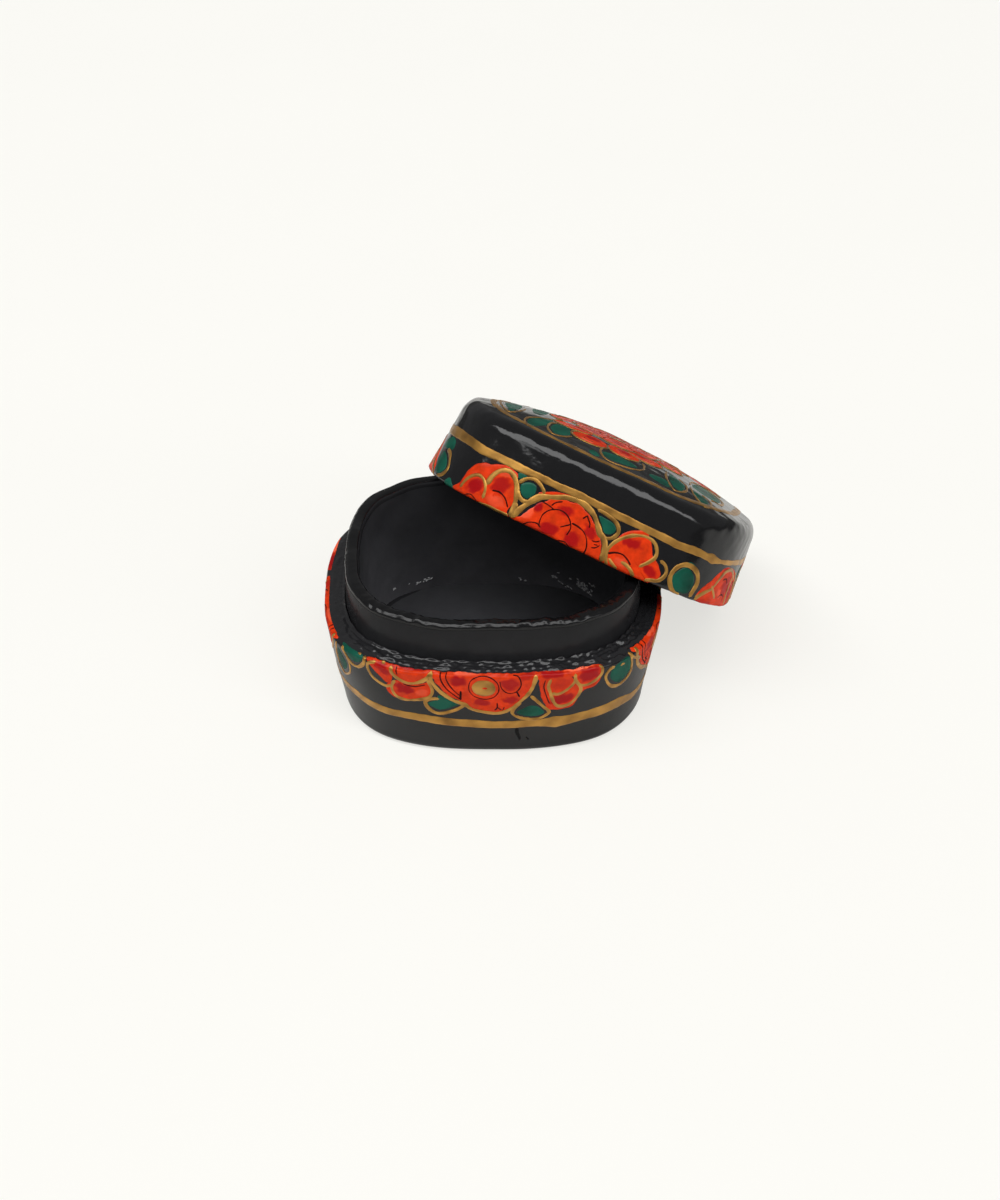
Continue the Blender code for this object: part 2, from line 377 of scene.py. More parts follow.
def turn_about(axis, degrees):
    """The matrix of a turn about the Y or Z axis."""
    c, s = math.cos(math.radians(degrees)), math.sin(math.radians(degrees))
    if axis == "y":
        return np.array([[c, 0, s], [0, 1, 0], [-s, 0, c]])
    return np.array([[c, -s, 0], [s, c, 0], [0, 0, 1]])


LID_AXES = turn_about("z", LEAN_TOWARDS) @ turn_about("y", LEAN) @ turn_about("z", LID_TURN - LEAN_TOWARDS)


def lid_laid(points):
    """Points of the lid's own space, made uneven in wide and in short waves, and put where the
    lid lies."""
    return uneven(uneven(points, 0.09, 15.0, 31), 0.03, 3.6, 35) @ LID_AXES.T + LID_MIDDLE


def lid_point(half, height, s):
    """A point of the lid shell: the turned profile, laid where the lid lies."""
    return lid_laid(turned(half, height, s))


def crown_point(x, y):
    """A point of the lid's top: a dome whose height falls with the square of the distance from
    the middle, measured by the plan."""
    out = (np.abs(x / CROWN_HALF) ** PLAN_POWER + np.abs(y / CROWN_HALF) ** PLAN_POWER) ** (1 / PLAN_POWER)
    return lid_laid(np.stack([x, y, LID_SIDE + LID_CROWN * (1 - out ** 2)], axis=-1))


def grid_faces(rows, columns, ring):
    """The quads of a grid of points, row by row. With ring, the last column joins the first."""
    across = columns if ring else columns - 1
    row, column = np.meshgrid(np.arange(rows - 1), np.arange(across), indexing="ij")
    beside, after = (column + 1) % columns, row + 1
    quads = [row * columns + column, row * columns + beside, after * columns + beside, after * columns + column]
    return np.stack(quads, axis=-1).reshape(-1, 4)


NO_FANS = np.zeros((0, 3), dtype=int)


def write_mesh(name, points, quads, fans, material, body, slot, tint):
    """A smooth mesh of these points in millimetres, with four-cornered and three-cornered faces,
    which rides on a body. tint is one value a point, for the material."""
    corners = np.concatenate([quads.ravel(), fans.ravel()])
    starts = np.concatenate([np.arange(len(quads)) * 4, len(quads) * 4 + np.arange(len(fans)) * 3])
    mesh = bpy.data.meshes.new(name)
    mesh.vertices.add(len(points))
    mesh.vertices.foreach_set("co", (points * MM).ravel())
    mesh.loops.add(len(corners))
    mesh.loops.foreach_set("vertex_index", corners)
    mesh.polygons.add(len(starts))
    mesh.polygons.foreach_set("loop_start", starts)
    mesh.update(calc_edges=True)
    mesh.polygons.foreach_set("use_smooth", np.ones(len(starts), dtype=bool))
    mesh.attributes.new("tint", "FLOAT", "POINT").data.foreach_set("value", tint.astype(np.float32))
    mesh.materials.append(material)
    piece = bpy.data.objects.new(name, mesh)
    bpy.context.scene.collection.objects.link(piece)
    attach(piece, body)
    return piece


def turned_shell(name, point, profile, columns, material, body, slot, row_tone, loop=False):
    """A shell whose every row is one profile point carried round the plan. Its first and last
    rows are closed by a point on the axis, or they are the same row of a loop. The tint function
    gives each row's tint from (half, height), with the base's and collar's painted light in it."""
    s = np.arange(columns) * ROUND / columns
    rows = np.array(profile)
    if loop:
        rows = rows[:-1]
        points = point(rows[:, :1], rows[:, 1:], s[None, :]).reshape(-1, 3)
        tint = np.repeat(row_tone(rows[:, 0], rows[:, 1]), columns)
        quads = grid_faces(len(rows) + 1, columns, True) % len(points)
        fans = NO_FANS
    else:
        ends = point(rows[[0, -1], 0], rows[[0, -1], 1], np.zeros(2))
        tint = row_tone(rows[:, 0], rows[:, 1])
        tint = np.concatenate([np.repeat(tint[1:-1], columns), tint[[0, -1]]])
        rows = rows[1:-1]
        inner = point(rows[:, :1], rows[:, 1:], s[None, :]).reshape(-1, 3)
        points = np.concatenate([inner, ends])
        here = np.arange(columns)
        after, last = (here + 1) % columns, len(inner) - columns
        fans = np.concatenate([np.stack([after, here, np.full(columns, len(inner))], axis=1),
                               np.stack([last + here, last + after, np.full(columns, len(inner) + 1)], axis=1)])
        quads = grid_faces(len(rows), columns, True)
    a, b, c = (points[quads[:, i]] for i in range(3))
    if (a * np.cross(b, c)).sum() < 0:
        quads, fans = quads[:, ::-1], fans[:, ::-1]
    return write_mesh(name, points, quads, fans, material, body, slot, tint)


def base_tone_and_painted_light(half, height):
    """The base is painted lighter inside, against the shade of the box, has a middling tone on its
    ledge, and is painted lighter towards its foot, as the reflection of the pale ground.
    """
    # Painted light: lighter inside against the box's shade, and lighter towards the foot as a painted reflection of
    # the pale ground
    inside = (half < COLLAR_HALF) & (height > FLOOR - 0.01)
    low = np.clip(1 - (height - 3.0) / 16.0, 0, 1) * 0.12
    return np.where(inside, 0.6, np.where(height > BASE_HEIGHT - 0.5, 0.4, low))


def collar_painted_light(half, height):
    """The strip's inner side is painted lighter, against the shade inside the box, and its outer side
    keeps nearly its dark tone.
    """
    return np.where(half < COLLAR_HALF - COLLAR_WALL + 0.3, 0.9, 0.05)


def lid_tone(half, height):
    """The lid is darker outside and lighter in its hollow."""
    ceiling = LID_SIDE - LID_CEILING + LID_CROWN * (1 - (half / CROWN_HALF) ** 2)
    hollow = (half <= LID_HOLLOW_HALF) & (height < ceiling + 0.5)
    return np.where(hollow, 1.0, 0.25)


def base_profile():
    """From the middle of the floor, over the ledge and down to the foot."""
    wall_top = COLLAR_HALF + GLUE_LINE
    wall_foot = wall_top - COLLAR_DRAFT
    rows = [(0.0, FLOOR)] + [(r, FLOOR) for r in np.arange(1.5, 28, 1.5)]
    rows += arc((wall_foot - FLOOR_FILLET, FLOOR + FLOOR_FILLET), FLOOR_FILLET, -90, 0, 5)
    rows += filled_in([(wall_foot, 8.0), (wall_top, BASE_HEIGHT + LEDGE_SLOPE)], 5.0).tolist()
    ledge = [(wall_top, BASE_HEIGHT + LEDGE_SLOPE), (BASE_HALF - LEDGE_ROUNDING, BASE_HEIGHT)]
    rows += filled_in(ledge, 0.16).tolist()[1:]
    rows += arc((BASE_HALF - LEDGE_ROUNDING, BASE_HEIGHT - LEDGE_ROUNDING), LEDGE_ROUNDING, 90, 0, 8)[1:]
    side = [(BASE_HALF, BASE_HEIGHT - LEDGE_ROUNDING), (FOOT_HALF, FOOT_ROUNDING)]
    rows += filled_in(side, 0.9).tolist()[1:]
    rows += arc((FOOT_HALF - FOOT_ROUNDING, FOOT_ROUNDING), FOOT_ROUNDING, 0, -90, 8)[1:]
    rows += [(r, 0.0) for r in np.arange(28, 1, -4.0)] + [(0.0, 0.0)]
    return rows


def collar_profile():
    """The collar strip's section, as a loop up its inner side and down its outer side."""
    foot = FLOOR + GLUE_LINE
    inner = COLLAR_HALF - COLLAR_WALL
    foot_outer = COLLAR_HALF - COLLAR_DRAFT
    rows = filled_in([(foot_outer - COLLAR_WALL, foot), (inner, COLLAR_TOP - COLLAR_ROUNDING)], 1.2).tolist()
    rows += arc((inner + COLLAR_ROUNDING, COLLAR_TOP - COLLAR_ROUNDING), COLLAR_ROUNDING, 180, 90, 6)[1:]
    rows += [(COLLAR_HALF - COLLAR_WALL / 2, COLLAR_TOP)]
    # The outer rounding of the rim is worn to a flat facet between its third and seventh step
    worn = arc((COLLAR_HALF - COLLAR_ROUNDING, COLLAR_TOP - COLLAR_ROUNDING), COLLAR_ROUNDING, 90, 0, 10)
    rows += worn[:3] + filled_in([worn[3], worn[7]], 0.12).tolist() + worn[8:]
    outer = [(COLLAR_HALF, COLLAR_TOP - COLLAR_ROUNDING), (COLLAR_HALF, BASE_HEIGHT),
             (foot_outer, foot + FLOOR_FILLET)]
    rows += filled_in(outer, 0.8).tolist()[1:]
    rows += [(foot_outer - FLOOR_FILLET, foot), (foot_outer - COLLAR_WALL, foot)]
    return rows


def lid_profile():
    """From the top of the lid's crown, down its side and up into its hollow."""
    rows = dome(CROWN_HALF, LID_SIDE, LID_CROWN, 34)
    rows += shoulder()[-2::-1]
    side = [shoulder()[0], (BASE_HALF, LID_RIM_ROUNDING)]
    rows += filled_in(side, 0.9).tolist()[1:]
    rows += arc((BASE_HALF - LID_RIM_ROUNDING, LID_RIM_ROUNDING), LID_RIM_ROUNDING, 0, -90, 5)[1:]
    rows += arc((LID_HOLLOW_HALF + LID_RIM_ROUNDING, LID_RIM_ROUNDING), LID_RIM_ROUNDING, -90, -180, 5)
    depth = LID_SIDE - LID_CEILING
    ceiling = LID_HOLLOW_HALF - LID_DRAFT - LID_INNER_FILLET
    wall = [(LID_HOLLOW_HALF, LID_RIM_ROUNDING), (LID_HOLLOW_HALF - LID_DRAFT, depth - LID_INNER_FILLET)]
    rows += filled_in(wall, 1.5).tolist()[1:]
    rows += arc((ceiling, depth - LID_INNER_FILLET), LID_INNER_FILLET, 0, 90, 8)[1:]
    rows += dome(ceiling, depth, LID_CROWN, 12)[-2::-1]
    return rows


# Painting: filled shapes and lines that lie on a skin

class Skin:
    """A painted side or top: place(u, v) gives its points, and side is 1 where the cross product
    of its two directions points outwards, and -1 where it points inwards."""

    def __init__(self, place, side):
        self.place, self.side = place, side

    def raised(self, u, v, lift):
        """Points of the skin, moved out by lift along its normal."""
        u, v = np.broadcast_arrays(u, v)
        step = 0.05
        along_u = self.place(u + step, v) - self.place(u - step, v)
        along_v = self.place(u, v + step) - self.place(u, v - step)
        normal = np.cross(along_u, along_v) * self.side
        normal /= np.linalg.norm(normal, axis=-1, keepdims=True)
        return self.place(u, v) + normal * np.broadcast_to(lift, u.shape)[..., None]


def side_skin(point, rows, start, side):
    """The skin of a side: t is the length along the profile rows, and 0 at the row start."""
    rows = np.array(rows)
    lengths = np.concatenate([[0], np.cumsum(np.hypot(*np.diff(rows, axis=0).T))])
    lengths -= lengths[start]

    def place(s, t):
        return point(np.interp(t, lengths, rows[:, 0]), np.interp(t, lengths, rows[:, 1]), s)

    return Skin(place, side)


def through(points, closed, gap):
    """A smooth line through points: Catmull-Rom spans, cut again at even distances of about gap."""
    points = np.array(points, dtype=float)
    if closed:
        before, start, end, after = (np.roll(points, shift, axis=0) for shift in (1, 0, -1, -2))
    else:
        ends = np.concatenate([[2 * points[0] - points[1]], points, [2 * points[-1] - points[-2]]])
        before, start, end, after = ends[:-3], ends[1:-2], ends[2:-1], ends[3:]
    f = np.linspace(0, 1, 12, endpoint=False)[None, :, None]
    before, start, end, after = (p[:, None, :] for p in (before, start, end, after))
    line = 0.5 * (2 * start + (end - before) * f + (2 * before - 5 * start + 4 * end - after) * f ** 2
                  + (3 * start - before - 3 * end + after) * f ** 3).reshape(-1, 2)
    line = np.concatenate([line, line[:1] if closed else points[-1:]])
    run = np.concatenate([[0], np.cumsum(np.hypot(*np.diff(line, axis=0).T))])
    count = max(8, round(run[-1] / gap))
    even = np.linspace(0, run[-1], count, endpoint=not closed)
    return np.stack([np.interp(even, run, line[:, 0]), np.interp(even, run, line[:, 1])], axis=1), run[-1]


class Coat:
    """All that one colour paints on one body, gathered into a single mesh."""

    def __init__(self, name, material, body, slot, thickness):
        self.name, self.material, self.body, self.slot, self.thickness = name, material, body, slot, thickness
        self.points, self.quads, self.fans, self.tints, self.count = [], [], [], [], 0

    def gather(self, points, quads, fans, tint, flip):
        """Adds a shape to the mesh. With flip its faces are turned over."""
        if flip:
            quads, fans = quads[:, ::-1], fans[:, ::-1]
        self.quads.append(quads + self.count)
        self.fans.append(fans + self.count)
        self.points.append(points)
        self.tints.append(tint)
        self.count += len(points)

    def fill(self, skin, outline, dabs=None, limit=None, stand=0.0):
        """A filled shape: rings of points from its middle out to its outline, raised by stand and
        the paint's thickness, and turned down into the skin at the edge. Its tint is that of the
        brush dabs over it, or where there are none to give, a slow wave from light to dark."""
        edge, _ = through(outline, True, 0.35)
        middle = edge.mean(axis=0)
        ragged = 1 + 0.012 * waves(edge, 2.2, self.count + 7)[:, None]
        edge = middle + (edge - middle) * ragged
        if limit is not None:
            edge[:, 1] = np.maximum(edge[:, 1], limit)
            middle[1] = max(middle[1], limit)
        reach = np.hypot(*(edge - middle).T).max()
        fractions = np.append(np.linspace(0, 1, max(4, math.ceil(reach / 0.45)))[1:], 1 + 0.05 / reach)
        swell = np.sqrt(np.clip(1.15 - fractions ** 6, 0.1, 1))
        lift = np.where(fractions > 1, -0.03, stand + self.thickness * swell)
        grid = middle + fractions[:, None, None] * (edge - middle)[None, :, :]
        body = skin.raised(grid[..., 0], grid[..., 1], lift[:, None]).reshape(-1, 3)
        top = skin.raised(middle[:1], middle[1:], stand + self.thickness)
        spots = np.concatenate([grid.reshape(-1, 2), middle[None, :]])
        here = np.arange(len(edge))
        fans = np.stack([np.full(len(edge), len(body)), here, (here + 1) % len(edge)], axis=1)
        quads = grid_faces(len(fractions), len(edge), True)[:, ::-1]
        clockwise = np.cross(edge[1] - edge[0], middle - edge[0]) < 0
        tint = 0.5 + 0.5 * waves(spots, 7.0, self.count + 5) if dabs is None else dab_tint(spots, dabs)
        self.gather(np.concatenate([body, top]), quads, fans, tint, clockwise != (skin.side < 0))

    def line(self, skin, points, width, height, closed=False, taper=0.7):
        """A brush line: a low rounded ridge along a smooth line. Its width swells and thins a
        little, and its ends draw in to a point over taper times its width."""
        path, length = through(points, closed, max(0.22, min(0.45, width / 2)))
        count = len(path)
        ahead = np.roll(path, -1, axis=0) - np.roll(path, 1, axis=0) if closed else np.gradient(path, axis=0)
        ahead /= np.maximum(np.linalg.norm(ahead, axis=1, keepdims=True), 1e-9)
        across = np.stack([-ahead[:, 1], ahead[:, 0]], axis=1)
        swell = width * (1 + 0.16 * waves(path, 4.5, self.count + 3) + 0.06 * waves(path, 1.4, self.count + 4))
        if not closed:
            run = np.linspace(0, length, count)
            ends = np.clip(np.minimum(run, length - run) / (width * taper), 0, 1)
            swell = swell * np.sqrt(np.maximum(1 - (1 - ends) ** 2, 1e-4))
        section = np.array([-1, -0.85, -0.5, 0, 0.5, 0.85, 1])
        ridge = np.array([-0.02, 0.55, 0.9, 1.0, 0.9, 0.55, -0.02])
        grid = path[:, None, :] + section[None, :, None] * across[:, None, :] * swell[:, None, None] / 2
        lift = height * ridge[None, :] * np.minimum(1, swell / width)[:, None] + 0.045 * (ridge > 0)
        body = skin.raised(grid[..., 0], grid[..., 1], lift).reshape(-1, 3)
        quads = grid_faces(count + closed, len(section), False) % len(body)
        tint = 0.5 + 0.5 * waves(grid.reshape(-1, 2), 3.0, self.count)
        self.gather(body, quads, NO_FANS, tint, skin.side > 0)

    def finish(self):
        """The mesh of all that was gathered."""
        return write_mesh(self.name, *(np.concatenate(part) for part in (self.points, self.quads, self.fans)),
                          self.material, self.body, self.slot, np.concatenate(self.tints))


def dab_tint(spots, dabs):
    """The tint of each spot. A dab is (u, v, half length, half width, turn in degrees, strength):
    an ellipse inside which the tint is its strength, with a soft edge. Strengths above 0 are
    crimson, and below 0 coral."""
    tint = np.zeros(len(spots))
    for u, v, half_length, half_width, turn, strength in dabs:
        c, s = math.cos(math.radians(turn)), math.sin(math.radians(turn))
        du, dv = spots[:, 0] - u, spots[:, 1] - v
        ragged = 1 + 0.16 * waves(spots, 1.6, int(abs(u * 31 + v * 17)))
        inside = np.hypot((du * c + dv * s) / half_length, (dv * c - du * s) / half_width) / ragged
        amount = strength * soft_step((1.25 - inside) / 0.55)
        tint = np.where(np.abs(amount) > np.abs(tint), amount, tint)
    return tint


# The motifs. Each is in millimetres along the seam and away from it, where it stands in the front
# of the base or lid: orange petals with their crimson (above 0) and coral (below 0) dabs, green
# leaves, closed rings and open lines of ink, gold discs, orange dots, and gold lines. A line has its
# width. Some coral dabs are painted highlights, set where the lamp's sheen lay on the petals.

OPEN_FLOWER = dict(
    orange=[
        ([(-13.3, -1.5), (-12.6, 0.6), (-11, 3.4), (-9.2, 5.4), (-6.6, 7), (-4.4, 8.8), (-2, 9.5), (0.6, 10),
          (2.8, 9.4), (4.6, 7.8), (6.4, 5.6), (7.8, 3.6), (8.8, 1.2), (9.3, -1.5)],
         [(-7.3, 0.8, 1.7, 1.5, 0, 1), (3.5, 1.4, 1.9, 1.7, 0, 0.85), (-2.4, 6.9, 1.7, 1.1, 10, 0.9),
          (3.9, 6.1, 1.6, 1, 0, 0.9), (7.2, -0.7, 1.6, 0.9, -20, 0.7), (-5.5, -1.3, 2.6, 0.5, 0, -0.4),
          (7.2, 3, 0.9, 1.4, 25, 0.25)])],
    rings=[
        ([(-5.1, 2.4), (-4.6, 0.5), (-3.4, -0.5), (-1.6, -0.8), (0.2, -0.1), (1.2, 1.6), (1.2, 3.6), (0.1, 5.3),
          (-1.8, 5.9), (-3.8, 5.3), (-4.9, 4)], 0.28)],
    ink=[
        ([(-11.2, -1.5), (-10.9, 1), (-9.9, 3.2), (-8.3, 5), (-6.9, 6.3)], 0.3),
        ([(-9.9, -1.5), (-9.8, 0.5), (-9.1, 2.4), (-8, 4.1), (-7, 5.2)], 0.26),
        ([(-6.9, 3.6), (-7.1, 6.4)], 0.42), ([(5.1, 3.5), (5.8, 5.2)], 0.34),
        ([(1.5, 0.4), (1.9, 2.5), (3.2, 3.9), (5, 3.6), (6, 1.7), (5.5, -0.5), (4.2, -1.2)], 0.26),
        ([(0.9, 6.9), (0.9, 8.4), (0.3, 9.3)], 0.36), ([(0.9, 8.3), (1.9, 9.2)], 0.26),
        ([(2.5, 8.2), (2.1, 9.3)], 0.24)],
    discs=[
        [(-4.4, 2.6), (-3.9, 1.1), (-2.6, 0.3), (-1, 0.3), (0.2, 1.2), (0.6, 2.6), (0.1, 4.1), (-1.2, 4.9),
         (-2.8, 4.8), (-4, 4)]],
    dots=[([(-2.5, 2.6), (-1.6, 2.1), (-0.9, 2.5), (-1.5, 3)], [(-1.5, 2.5, 0.5, 0.3, 0, 0.6)])],
    gold=[
        ([(-13.2, -1.3), (-13, 1.2), (-11.8, 3.6), (-10, 5.4), (-8.2, 6.8), (-6.2, 7.7), (-4.8, 9), (-2.6, 9.7),
          (0.4, 10.2), (2.6, 9.7), (4.4, 8.3), (6.2, 6.3), (7.6, 4.5), (8.6, 2.3), (9.2, -0.9)], 0.95)])

PETALS_LEFT = dict(
    orange=[
        ([(-22.8, -1.5), (-21.8, 0.8), (-20, 2.2), (-17.6, 2.7), (-15.2, 1.9), (-13.8, 0.4), (-13.6, -1.5)],
         [(-17.5, -1.7, 3.6, 0.7, 0, 0.8), (-22.4, -0.6, 0.9, 1.2, 0, 0.7)]),
        ([(-22.6, 3.2), (-21.2, 2.3), (-18.6, 2.5), (-16, 2.4), (-13.6, 1.6), (-13.1, 3.2), (-13.3, 4.8),
          (-14.6, 6.2), (-17.2, 7), (-20, 7.5), (-22.4, 7.2), (-24, 5.2)],
         [(-19.4, 4.3, 2.3, 1.4, 8, 1), (-15.4, 4.8, 1.4, 1, -20, -0.25)]),
        ([(-28.4, -1.5), (-27.7, 0), (-26.6, 1.3), (-25.2, 2.5), (-23.6, 3.7), (-22.4, 3), (-21.8, 1),
          (-22, -1.5)],
         [(-24.2, 0.2, 2, 1.2, 30, 0.95)])],
    green=[
        [(-11.9, 5.2), (-10.6, 5.7), (-8.6, 6.7), (-7.2, 7.4), (-8.6, 8.3), (-10.4, 9.1), (-12, 9.3),
         (-13.6, 8.5), (-14.3, 7.6), (-13, 6.9), (-12, 6.3)]],
    ink=[([(-19.6, 2.9), (-17, 3.2), (-14.4, 2.4)], 0.3), ([(-21.1, -1.4), (-20.6, 0.6)], 0.26)],
    gold=[
        ([(-11.6, 6.2), (-13.6, 6.4), (-14.8, 7.3), (-14.4, 8.9), (-13.2, 10.1), (-11.6, 10.5), (-9.6, 9.9),
          (-7.6, 8.9), (-6, 7.6)], 0.95),
        ([(-22.4, -1.2), (-21.6, 0.8), (-19.6, 2.1), (-17.6, 2.4), (-15.4, 1.6), (-13.8, 0.2),
          (-13.3, -1.2)], 0.95),
        ([(-13.9, 0.6), (-13.5, 2), (-13, 4), (-13.6, 5.6), (-15, 6.5), (-17.4, 7.2), (-19.6, 7.5), (-21.4, 7),
          (-22.3, 5.6), (-22.2, 3.8), (-21.3, 2.3)], 0.85),
        ([(-26, -0.9), (-27.7, 0), (-28.2, 1.4), (-27.4, 3.4), (-25.8, 4.4), (-23.8, 4.8), (-22.3, 4)], 0.85),
        ([(-24.8, -1.2), (-24.4, -1.3), (-24, -1.1)], 0.7)])

PETALS_RIGHT = dict(
    orange=[
        ([(9.8, -1.5), (9.9, 1), (10.2, 3.6), (11, 6.4), (12.3, 9), (14, 9.5), (17.4, 9.3), (18.6, 8), (19.4, 6),
          (20.4, 4.8), (22.4, 4.4), (23.7, 2.6), (23.5, 0.4), (22.6, -1.5)],
         [(12.6, -0.7, 3.2, 0.9, 0, 0.95), (15.4, 6.6, 2.7, 1.4, -12, 1), (20.8, 0.7, 2.4, 1.9, 0, 1),
          (14.8, 2.2, 2, 1.5, -25, 0.35), (18.9, -1.4, 3, 0.5, 0, -0.9)])],
    green=[
        [(5.2, 9.9), (6.6, 8.8), (8.2, 7.9), (9.7, 8.1), (11, 9.2), (11.5, 10.2), (10.4, 10.9), (8.4, 11.1),
         (6.6, 10.8)],
        [(26.2, 1.6), (27.2, 0.4), (29, -0.4), (31, -0.4), (32, 1.6), (32.1, 3.6), (31.1, 5.1), (29.4, 5.9),
         (27.8, 5.1), (26.4, 3.4)]],
    ink=[([(16.8, 0.2), (17.6, 1.2)], 0.26), ([(11.2, 0.6), (11, 2.6), (11.8, 5.4), (12.6, 7.6)], 0.22)],
    gold=[
        ([(8.2, 4.9), (9.6, 6.5), (11.2, 8.3), (12.6, 9.9), (12, 10.8), (10.4, 11.8), (8, 12), (5.6, 11.4),
          (4.3, 10.2), (4.7, 8.5), (6.2, 6.7)], 0.95),
        ([(12.4, 0.4), (12, 2.4), (12.6, 4.4), (13.2, 6.4), (14.2, 8.2), (15.6, 8.7), (17.4, 8.2), (18.8, 6.6),
          (19.4, 4.6), (18.8, 3), (17.8, 1.6), (17.5, -0.4)], 0.85),
        ([(12.8, 4.4), (14.2, 4.9), (15.8, 4.2), (17.2, 2.8), (17.8, 1.4)], 0.8),
        ([(17.8, 1.2), (18.6, 2.8), (20.2, 3.5), (22, 3), (23.6, 1.6), (23.8, 0), (23.2, -1.2)], 0.85),
        ([(27, 0.3), (25.6, 1), (25, 2.4), (25.6, 4.2), (26.8, 5.8), (28.4, 6.7), (30.2, 6.7), (31.8, 5.8),
          (32.7, 4.2), (32.4, 2.2), (31.9, 0.2), (31.5, -1.3)], 0.85),
        ([(28.6, 0.9), (29.2, 0.7), (29.8, 1)], 0.7), ([(31.5, -0.9), (32.6, 0.6), (34.2, 1.6), (35.8, 2.4)], 0.8)])

LEAVES_FAR_LEFT = dict(
    green=[
        [(-36.8, -1.5), (-33.6, -1.4), (-29.8, -1.1), (-29.6, 0.2), (-30.8, 1.3), (-32.4, 1.6), (-34.2, 0.8),
         (-35.8, -0.4)],
        [(-37.8, 0.8), (-36.4, 2.2), (-35.4, 3.8), (-35.8, 5.4), (-37.4, 6.8), (-38.8, 6.2), (-39.2, 4),
         (-38.8, 2)]],
    gold=[
        ([(-29.2, -1.4), (-28.9, 0), (-29.6, 1.4), (-31.2, 2.7), (-33.2, 2.7), (-34.8, 1.2), (-36.2, -0.8)], 0.85),
        ([(-34.8, 1.6), (-34.2, 3.4), (-34.6, 5.8), (-36.4, 7.6), (-38.4, 8.2), (-39.9, 6.4), (-40, 3),
          (-38.6, -0.4)], 0.6),
        ([(-31.2, -1.1), (-30.8, -1.25), (-30.3, -1)], 0.7)])

PETAL_PAIR = dict(
    orange=[
        ([(-27.6, -0.5), (-26.7, 2), (-26.4, 4.6), (-25.6, 6.4), (-24, 7.8), (-21.4, 8.5), (-19.2, 9.5),
          (-17, 9.7), (-15, 9), (-14, 7.2), (-13.2, 5.6), (-12.8, 3.4), (-13.2, 1), (-13.6, -0.5)],
         [(-22.8, 2.6, 2.1, 1.7, 20, 1), (-17.3, 5.3, 2.3, 1.8, 40, 0.85), (-16.6, 1.9, 2.2, 1.4, 0, -0.2),
          (-17.4, 7.8, 2, 0.9, 0, -0.2), (-26.9, 3, 0.5, 2, 10, 0.5)])],
    green=[
        [(-12.9, 7.8), (-11.4, 8.7), (-10, 8.5), (-9.5, 7), (-10, 5.8), (-11, 5.1), (-12.3, 5.8), (-13, 7)],
        [(-14.8, 9.5), (-12.8, 9.6), (-13.4, 8.6), (-14.3, 8.4)],
        [(-31.9, 0.2), (-30.6, 1.6), (-28.9, 0.8), (-28, -0.3), (-31.2, -0.5)]],
    ink=[
        ([(-18.4, 3.5), (-16.6, 3.9), (-14.8, 3.2), (-13.4, 1.7)], 0.34),
        ([(-24.6, -0.2), (-22.6, 0.6), (-20.8, -0.1)], 0.22)],
    gold=[
        ([(-26.2, 0.8), (-25.6, 2.8), (-24.6, 4.2), (-23, 5.1), (-21.2, 4.6), (-20, 3), (-19.5, 1)], 0.75),
        ([(-20.2, 4), (-20, 6.2), (-19, 7.9), (-17.3, 8.8), (-15.6, 8.4), (-14, 7), (-13.2, 5.4), (-12.5, 3.4),
          (-12.2, 1.4), (-12.2, 0)], 1.15),
        ([(-20.4, -0.3), (-17.6, 0), (-15, 0.1), (-12.6, 0.1)], 0.75),
        ([(-13.8, 7.4), (-12.7, 9), (-11, 9.7), (-9.4, 9.3), (-8.2, 8.5), (-7.5, 7.7)], 0.8),
        ([(-13.2, 6.2), (-12.4, 5), (-11, 4.4), (-9.6, 5)], 0.75)])

